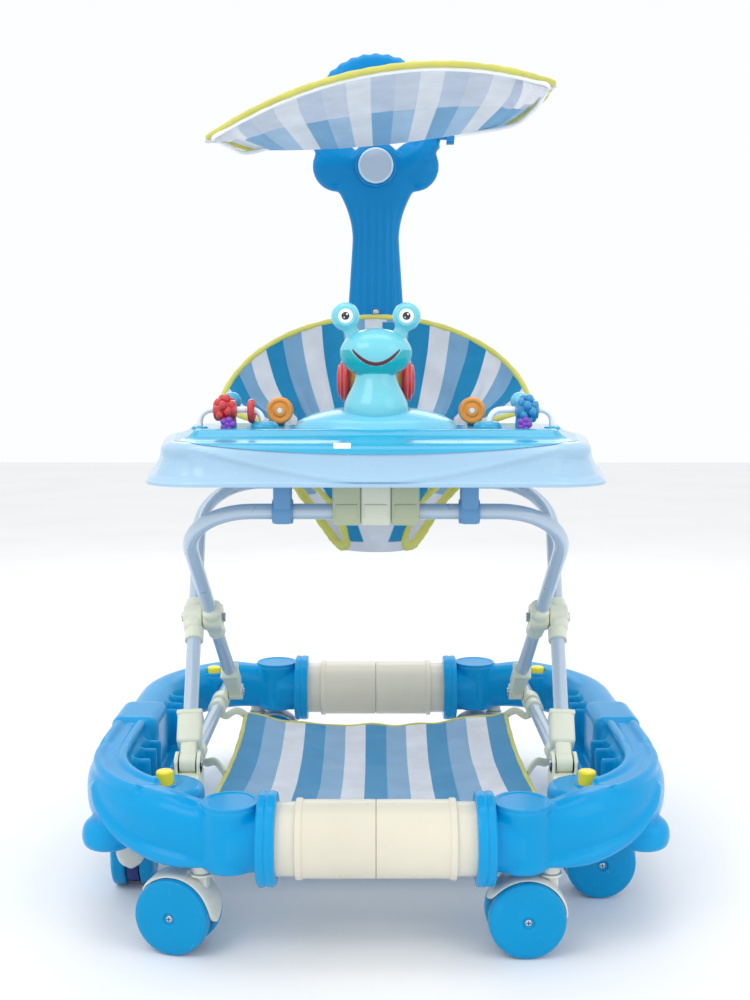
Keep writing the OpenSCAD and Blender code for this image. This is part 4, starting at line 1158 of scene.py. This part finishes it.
def snail_shell():
    p = Piece()
    p.rod((-30, SHELL_Y, SHELL_Z), (30, SHELL_Y, SHELL_Z), 4, ORANGE)
    for side in (-1, 1):
        p.lathe([(0, 12), (20, 12), (20, 30), (0, 30)], ORANGE, (0, SHELL_Y, SHELL_Z), X_AXIS * side, 64, 2)
        profile = [(0, 27), (24.5, 27), (26.5, 29.5), (26, 32.5), (22.5, 34), (21, 37), (17.5, 38), (16, 40),
                   (8, 41.4),
                   (0, 41.6)]
        p.lathe(profile, RED, (0, SHELL_Y, SHELL_Z), X_AXIS * side, 64, 1.2)
    p.done("snail_spinner", "snail_wheel", ["snail_shell"], "toy_red")


def bead_toys():
    x0, x1, z, low, bend = 116, 180, TRAY_TOP + 27, TRAY_TOP + 9, 12
    p = Piece()
    for side in (-1, 1):
        quarter = [(bend * math.cos(a), bend * math.sin(a)) for a in steps(8, 0, math.pi / 2)]
        path = [(x0, low)] + [(x0 + bend - c, z - bend + s) for c, s in quarter]
        path += [(x1 - bend + s, z - bend + c) for c, s in quarter] + [(x1, low)]
        p.pipe([Vector((side * x, TOY_Y, h)) for x, h in path], 3.2, TOY_WHITE)
    p.lathe([(9 + 3.6 * math.cos(a), 3.6 * math.sin(a)) for a in steps(16, 0, math.tau)[:-1]], RED,
            (-127, TOY_Y, z - 1.5), X_AXIS, 48, closed=True)
    p.done("bead_rods", "tray", ["toy_arcs"], "toy_white")
    golden = math.pi * (3 - math.sqrt(5))
    for side, name in SIDES:
        colour = RED if side < 0 else BEAD_BLUE
        p = Piece()
        p.lathe([(3.3, -12.5), (9, -11), (11, 0), (9, 11), (3.3, 12.5)], colour, (side * 154, TOY_Y, z),
                X_AXIS, 32,
                closed=True)
        for k in range(17):
            h = 1 - 2 * (k + 0.5) / 17
            ring = 11.6 * math.sqrt(1 - h * h)
            p.ball((side * 154 + 8.6 * h, TOY_Y + ring * math.cos(golden * k),
                    z + ring * math.sin(golden * k)),
                   (4.4, 5.1, 5.1), colour, 18)
        p.done(f"lobed_bead_{name}", f"bead_{name}", [f"star_bead_{name}"],
               "toy_red" if side < 0 else "toy_blue")
        p = Piece()
        front, back = -115, -104.5
        profile = [(3.1, front - back), (6, front - back), (7, front - back + 1.5), (9, front - back + 1.5),
                   (10, front - back), (12.5, front - back), (14, front - back + 1.6), (14, -1.5), (12.5,
                                                                                                    0), (3.1,
                                                                                                         0)]
        p.lathe(profile, ORANGE, (side * 101, back, 510), Y_AXIS, 56, 0.6, closed=True)
        p.done(f"orange_spinner_{name}", f"orange_{name}", [f"orange_toy_{name}"], "toy_orange")


# ---------------------------------------------------------------- seat

def seat_back_point(u, v):
    """Gathered fan of the seat back: u from the left end to the right end, v from its hem up to its edge."""
    turn = math.radians(80 * (2 * u - 1))
    deck = TRAY_TOP + 6
    z_top = 616 - 124 * (1 - math.cos(turn))
    lift = max(0.0, (v - 0.25) / 0.75)
    low = Vector((141 * math.sin(turn), SEAT_Y + 113 * math.cos(turn)))
    high = Vector((193 * math.sin(turn), 138 - 80 * (1 - math.cos(turn))))
    z = lerp(deck, z_top, lift) if lift > 0 else lerp(450, deck, v / 0.25)
    flat = low.lerp(high, lift ** 0.8)
    away = Vector((math.sin(turn), math.cos(turn), -0.3))
    gather = math.sin(u * 150 + 2 * math.sin(u * 23)) * (1 - step(v, 0.35, 0.8)) * 1.3
    fold = 3.2 * noise.noise(Vector((u * 13, v * 2.4, 0.7))) * (0.4 + 0.6 * math.sin(math.pi * lift))
    tuck = 1.6 * math.sin((u - 0.5) * 62 + 4 * v) * math.sin(math.pi * lift) ** 2
    belly = 5.0 * math.sin(math.pi * lift) ** 0.8
    return Vector((flat.x, flat.y, z)) + away * (gather + fold + tuck + belly - 5)


def seat_back():
    p = Piece()
    p.sheet(seat_back_point, 260, 40, SEAT_CLOTH, thick=2.2, size=(0.60, 0.17),
            stripe=lambda u, v: (1 - abs(2 * u - 1)) * 9.5)
    left = [seat_back_point(0, v) for v in steps(12, 0.25, 1)[:-1]]
    right = [seat_back_point(1, v) for v in steps(12, 1, 0.25)[1:]]
    p.piping(left + [seat_back_point(u, 1) for u in steps(120)] + right, 3.3)
    for ahead in (3.2, 1.8):
        patch = [[seat_back_point(u, v) - Y_AXIS * ahead for u in steps(4, 0.516, 0.556)]
                 for v in steps(4, 0.84, 0.965)]
        p.grid(patch, MAT_CLOTH, uv=lambda r, c: (c * 0.004, r * 0.004), stripe=lambda i, j: 0.5)
    made = p.done("seat_back_fan", "tray", ["seat_back"], "stripe_fabric", sharp=70)


def sling_point(angle, v):
    """Seat sling: angle from the rear middle, v from the tray's edge down to the crotch."""
    n = Vector((math.sin(angle), math.cos(angle)))
    t = min(1, v / 0.82)
    r = lerp(86, 43, t ** 1.15) - 3 * math.sin(math.pi * t)
    x = math.copysign(lerp(20, 0, t), n.x) * min(1, abs(n.x) * 5)
    flat = Vector((x, lerp(22, 14, t))) + n * r
    z = lerp(442, 349, t ** 0.9)
    if v > 0.82:
        close = (v - 0.82) / 0.18
        flat = Vector((0, 14)).lerp(flat, 1 - close)
        z = 349 - 2.4 * math.sin(close * math.pi / 2)
    pucker = 1.0 * math.sin(angle * 26 + 1.5 * math.sin(angle * 5)) * (1 - step(v, 0.2, 0.75))
    pucker += 1.8 * noise.noise(Vector((n.x * 2.2, n.y * 2.2, v * 4)))
    return Vector((flat.x + n.x * pucker, flat.y + n.y * pucker, z))


# a leg hole's middle and half size: degrees from the front, then share of the way down
HOLE_MIDDLE, HOLE_HALF = Vector((60, 0.43)), Vector((29, 0.37))


def from_front(angle):
    """Degrees between an angle and the front."""
    return math.degrees(abs(math.remainder(angle - math.pi, math.tau)))


def on_sling(angle, v):
    """Degrees from the front and share of the way down, measured from a leg hole's middle in half sizes."""
    return Vector(((from_front(angle) - HOLE_MIDDLE.x) / HOLE_HALF.x, (v - HOLE_MIDDLE.y) / HOLE_HALF.y))


def hole_reach(at):
    """1 on a leg hole's rim, less inside it."""
    return (abs(at.x) ** 2.7 + abs(at.y) ** 2.7) ** (1 / 2.7)


def sling_mark(angle, v):
    """Stripe number: a pale middle strip, blue blocks beside it, pale bottom and sides."""
    off = from_front(angle)
    if v > 0.7 or off < 13:
        return 2.5
    return 0.5 if off < 31 else 1.5 if 105 < off < 125 and v < 0.3 else 2.5


def sling():
    p = Piece()
    angles, shares = steps(240, 0, math.tau)[:-1], steps(60)
    rows = [[sling_point(a, v) for a in angles] for v in shares]
    verts = p.grid(rows, MAT_CLOTH, around=True, uv=lambda r, c: (c * 0.0024, r * 0.0024),
                   stripe=lambda i, j: sling_mark(angles[j], shares[i]))
    where = {vert: (angles[j], shares[i]) for i, row in enumerate(verts) for j, vert in enumerate(row)}
    inside = {vert for vert, spot in where.items() if hole_reach(on_sling(*spot)) < 1}
    gone = [face for face in p.bm.faces if all(vert in inside for vert in face.verts)]
    bmesh.ops.delete(p.bm, geom=gone, context="FACES")
    rims = []
    for side in (-1, 1):
        rim = [vert for vert in inside if vert.is_valid and vert.is_boundary and vert.co.x * side > 0]
        for vert in rim:
            at = on_sling(*where[vert])
            at = at / hole_reach(at)
            off = math.radians(HOLE_MIDDLE.x + at.x * HOLE_HALF.x)
            vert.co = sling_point(math.pi - side * off, HOLE_MIDDLE.y + at.y * HOLE_HALF.y)
        rims.append(ordered_loop(rim))
    solidify(p, 2.0)
    for rim in rims:
        p.piping(smoothed_loop(rim), 5.0, closed=True)
    made = p.done("seat_sling_cloth", "tray", ["seat_sling"], "stripe_fabric", sharp=70)
    sling_hem(angles)


def sling_hem(angles):
    """Flat band that joins the sling's top edge to the tray."""
    p = Piece()
    rows = []
    for angle in angles:
        n = Vector((math.sin(angle), math.cos(angle)))
        top = sling_point(angle, 0) + Z_AXIS
        outer = Vector((math.copysign(SEAT_DX, n.x) * min(1, abs(n.x) * 8), SEAT_Y)) + n * (SEAT_R - 6)
        half_way = (top.xy + outer) / 2
        rows.append([top, Vector((*half_way, 444)), Vector((*outer, 444.5)), Vector((*outer, 446)),
                     Vector((*half_way, 446)), top + Z_AXIS * 2])
    p.grid(rows, LINING_WHITE, around=True, ring=True, uv=lambda r, c: (c * 0.01, r * 0.0024))
    hem = p.done("seat_sling_hem", "tray", slot="stripe_fabric")


def ordered_loop(verts):
    """Boundary verts in order round their hole, by their edges."""
    left = set(verts)
    current = verts[0]
    out = []
    while current is not None:
        out.append(current.co.copy())
        left.discard(current)
        current = next((e.other_vert(current) for e in current.link_edges
                        if e.is_boundary and e.other_vert(current) in left), None)
    return out


def smoothed_loop(points, passes=6):
    for _ in range(passes):
        turned_on = points[1:] + points[:1]
        points = [(points[i - 1] + points[i] * 2 + turned_on[i]) / 4 for i in range(len(points))]
    return points[::2]


def solidify(p, thick):
    """Gives an open skin an even thickness."""
    bmesh.ops.recalc_face_normals(p.bm, faces=p.bm.faces)
    p.bm.normal_update()
    bmesh.ops.solidify(p.bm, geom=p.bm.faces[:], thickness=thick)
    for face in p.bm.faces:
        face.smooth = True


# ---------------------------------------------------------------- handle

def post_half(z):
    return 30 + (718 - z) * 0.067 if z < 718 else 30 + 0.0048 * (z - 718) ** 2


def handle_push(co, normal):
    """Flutes down the post, a panel line round it and ribs over the grip."""
    move = Vector((0, 0, 0))
    if abs(normal.y) > 0.55 and 560 < co.z < 772:
        fade = step(co.z, 560, 590) * (1 - step(co.z, 745, 772)) * (1 - step(abs(co.x), 16, 24))
        move.y -= math.copysign(1.1, normal.y) * fade * (0.5 + 0.5 * math.cos(co.x * math.tau / 9.5))
    if abs(normal.y) > 0.55 and co.z < 772:
        move.y -= math.copysign(0.9, normal.y) * bump(abs(co.x), post_half(co.z) - 6, 1.8)
    grip = Vector((co.x, 0, co.z - GRIP_Z))
    if grip.length > 62 and co.z > GRIP_Z + 22:
        angle = math.atan2(grip.x, grip.z)
        fade = step(co.z, GRIP_Z + 22, GRIP_Z + 36)
        move += grip.normalized() * (0.9 * math.cos(angle * 34) - 0.9) * fade * (1 - 0.5 * abs(normal.y))
    return move


def handle():
    """Handle with its grip ring, made as one skin and split into a front and a rear half."""
    y = HANDLE_Y
    p = Piece()
    post = [Vector((0, y, z)) for z in steps(40, TRAY_TOP, 800)]

    def section(t):
        z = lerp(TRAY_TOP, 800, t)
        return oval(14.6, post_half(min(z, 790)) - 0.2, 40, 3.2)
    p.sweep(post, section, HANDLE_BLUE, up=X_AXIS)
    ring = [Vector(((GRIP_R - 15.5) * math.sin(a), y, GRIP_Z + (GRIP_R - 15.5) * math.cos(a)))
            for a in steps(96, 0, math.tau)[:-1]]
    p.sweep(ring, oval(15.2, 14.8, 28, 2.3), HANDLE_BLUE, closed=True, up=Y_AXIS)
    p.rod((0, y - 14.6, HUB_Z), (0, y + 14.6, HUB_Z), 33, HANDLE_BLUE, 6)
    for side in (-1, 1):
        p.ball((side * 50, y, 811), (31, 14.8, 32), HANDLE_BLUE)
        wing = [Vector((side * x, y, z)) for x, z in ((20, 800), (36, 814), (56, 828), (74, 844))]
        p.sweep(smooth_path(wing, 20), oval(13, 14.4, 24, 2.4), HANDLE_BLUE, up=Y_AXIS)
    p.melt("handle", 2.0, 5, handle_push)
    back = p.copy()
    for half, keep in ((p, -1), (back, 1)):
        cut = bmesh.ops.bisect_plane(half.bm, geom=half.bm.verts[:] + half.bm.edges[:] + half.bm.faces[:],
                                     plane_co=(0, y + keep * 0.3, 0), plane_no=(0, -keep,
                                                                                0), clear_outer=True)
        edges = [e for e in cut["geom_cut"] if isinstance(e, bmesh.types.BMEdge)]
        rim = [v for v in cut["geom_cut"] if isinstance(v, bmesh.types.BMVert)]
        half.bm.normal_update()
        filled = bmesh.ops.triangle_fill(half.bm, edges=edges, use_beauty=True)
        half.paint([f for f in filled["geom"] if isinstance(f, bmesh.types.BMFace)], HANDLE_BLUE)
        for vert in rim:
            vert.co -= Vector((vert.normal.x, 0, vert.normal.z)) * 0.6
        face = y + keep * 14
        half.lathe([(22.6, 0), (26.4, 0), (26.4, 3.6), (25.2, 4.8), (23.6, 4.8), (22.6, 3.6)], HANDLE_BLUE,
                   (0, face, HUB_Z), Y_AXIS * keep, 72, 0.7, closed=True)
        half.lathe([(4.6, 0), (7, 0), (6.6, 1.6), (4.6, 1.6)], HANDLE_BLUE, (0, face + keep * 0.2, 626),
                   Y_AXIS * keep, 36, 0.4, closed=True)
        half.lathe([(0, 0), (4.2, 0), (3.8, 1.0), (0, 1.4)], ZINC, (0, face + keep * 0.2, 626),
                   Y_AXIS * keep, 24, 0.3)
    for side in (-1, 1):
        p.rod((side * 74, CLIP_Y, CLIP_Z), (side * 99.5, CLIP_Y, CLIP_Z), 3, HANDLE_BLUE)
    p.done("push_handle_front", "tray", ["handle_front"], "handle_blue", sharp=50)
    back.done("push_handle_rear", "tray", ["handle_back"], "handle_blue", sharp=50)


def hub_disc():
    p = Piece()
    face = (0, HANDLE_Y - 16.6, HUB_Z)
    p.lathe([(0, 0), (22.4, 0), (22.4, 3.2), (21.2, 4.2), (19.4, 4.2)], DISC_RIM, face, -Y_AXIS, 96, 0.6)
    p.lathe([(0, 3.2), (19.6, 3.4), (19.4, 3.9), (12, 4.3), (0, 4.4)], DISC_GREY, face, -Y_AXIS, 96, 0.5)
    p.done("hub_disc", "tray", ["handle_disc"], "disc_grey")


# ---------------------------------------------------------------- canopy

def canopy_point(u, v, drop=0.0, wrinkle=True):
    """Sun canopy: u from left to right and v from the rear hem to the front brim, both 0 to 1."""
    w = 2 * u - 1
    reach = HEM_Y - lerp(*BRIM_Y, w * w)
    hem_z = 831.5 + CANOPY_LEAN * w / 2 + 9 * w * w
    brim_z = 864 + CANOPY_LEAN * w - 21 * w * w
    x = (0.8 + 0.2 * math.sin(math.radians(90 * min(1, 1.6 * v)))) * CANOPY_W * w
    crown = 12 * math.sin(math.pi * v) * (1 - 0.7 * w * w)
    z = lerp(hem_z, brim_z, v) + crown - drop
    if wrinkle:
        slack = math.sin(math.pi * v) ** 0.7
        z += slack * (1.6 * math.sin(w * 19 + 3 * v) * step(abs(w), 0.3, 0.9)
                      + 2.6 * noise.noise(Vector((w * 5.5, v * 2.1, 5.0))))
        z += 0.9 * math.sin(w * 60) * step(abs(w), 0.62, 0.9) * slack
    return Vector((CANOPY_X + x, HEM_Y - reach * v, z))


def canopy_cloth():
    ends = 0.004, 0.996
    p = Piece()
    p.sheet(lambda u, v: canopy_point(lerp(*ends, u), v), 220, 70, LINING, CANOPY_TOP, thick=-1.8,
            size=(0.42, 0.27),
            stripe=lambda u, v: (2 * u - 1) * 7.2 + 30.4)
    left = [canopy_point(ends[0], v) for v in steps(24)[:-1]]
    right = [canopy_point(ends[1], v) for v in steps(24, 1, 0)[1:]]
    binding = Piece()
    binding.piping(left + [canopy_point(u, 1) for u in steps(110, *ends)] + right, 3.4)
    edge = binding.done("canopy_binding", "canopy", slot="canopy_cloth")
    made = p.done("sun_canopy", "canopy", ["canopy_fabric"], "canopy_cloth", sharp=70)


def corner_pockets():
    """Slack corners of cloth that hang below the brim, each from a loose point to the brim's end."""
    p = Piece()
    for side, low, high in ((-1, 810, 812), (1, 843, 872)):

        def pocket(u, v, side=side, low=low, high=high):
            w = side * lerp(0.8, 1.0, u)
            base = canopy_point((1 + w) / 2, 0.975, wrinkle=False)
            hang = max(2, base.z - lerp(low, high, u ** 1.6)) + 2 * math.sin(u * 17) * (1 - u)
            lean = -9 * (1 - u) * v + 4 * math.sin(math.pi * v)
            return base + Vector((side * lean, 12 * v + 1.4 * math.sin(u * 21 + v * 4) * v, -hang * v - 1))
        p.sheet(pocket, 40, 16, LINING_WHITE, thick=1.2, size=(0.06, 0.03))
    made = p.done("canopy_corner_pockets", "canopy", slot="canopy_cloth", sharp=70)


def canopy_bow():
    side = [canopy_point(0.02, v, 6, False) for v in (0.1, 0.4, 0.7)]
    brim = [canopy_point(u, 0.985, 4.2, False) for u in steps(20, 0.02, 0.98)]
    other = [canopy_point(0.98, v, 6, False) for v in (0.7, 0.4, 0.1)]
    ends = [Vector((x, CLIP_Y - 12, CLIP_Z)) for x in (-CLIP_X, CLIP_X)]
    p = Piece()
    p.pipe(smooth_path(ends[:1] + side + brim + other + ends[1:], 160), 2.4, TOY_WHITE, count=14)
    p.done("canopy_bow", "canopy", ["canopy_frame"], "tube_paint")


def canopy_clips():
    p = Piece()
    for side in (-1, 1):
        low, high = sorted((side * (CLIP_X - 5), side * (CLIP_X + 5)))
        p.lathe([(3.1, low), (9, low), (9, high), (3.1, high)], HANDLE_BLUE, (0, CLIP_Y, CLIP_Z), X_AXIS, 40,
                1,
                closed=True)
        p.box((low, CLIP_Y - 16, CLIP_Z - 6), (high, CLIP_Y - 5, CLIP_Z + 6), HANDLE_BLUE, 2)
    p.done("canopy_side_clips", "canopy", ["canopy_clips"], "handle_blue")


# ---------------------------------------------------------------- floor and the whole

def floor():
    """Plain pale floor, six metres out each way."""
    shader = Shader("floor")
    tone = shader.ramp(shader.noise(3.0), [(0.3, (0.86, 0.87, 0.88, 1)), (0.7, (0.9, 0.9, 0.91, 1))])
    shader.set(Base_Color=tone, Roughness=0.7)
    mesh = bpy.data.meshes.new("floor")
    half = 6.0
    mesh.from_pydata([(-half, -half, 0), (half, -half, 0), (half, half, 0), (-half, half, 0)], [],
                     [(0, 1, 2, 3)])
    mesh.materials.append(shader.material)
    made = bpy.data.objects.new("floor", mesh)
    bpy.context.scene.collection.objects.link(made)


camera()
studio()
floor()
side_shells()
cross_bars()
for corner in ("front_left", "front_right", "rear_left", "rear_right"):
    button(corner)
casters()
mat_rails()
foot_brackets()
foot_pins()
mat_straps()
sliders()
mat()
frame_tube("a", LEG_A, False)
frame_tube("b", LEG_B, True)
scissor_bolts()
tray_shell()
crossbar_clamp()
crossbar_hooks()
repaint("slot_brackets", BRACKET_BLUE)
toy_deck()
snail()
snail_face()
snail_shell()
bead_toys()
seat_back()
sling()
handle()
hub_disc()
canopy_cloth()
corner_pockets()
canopy_bow()
canopy_clips()
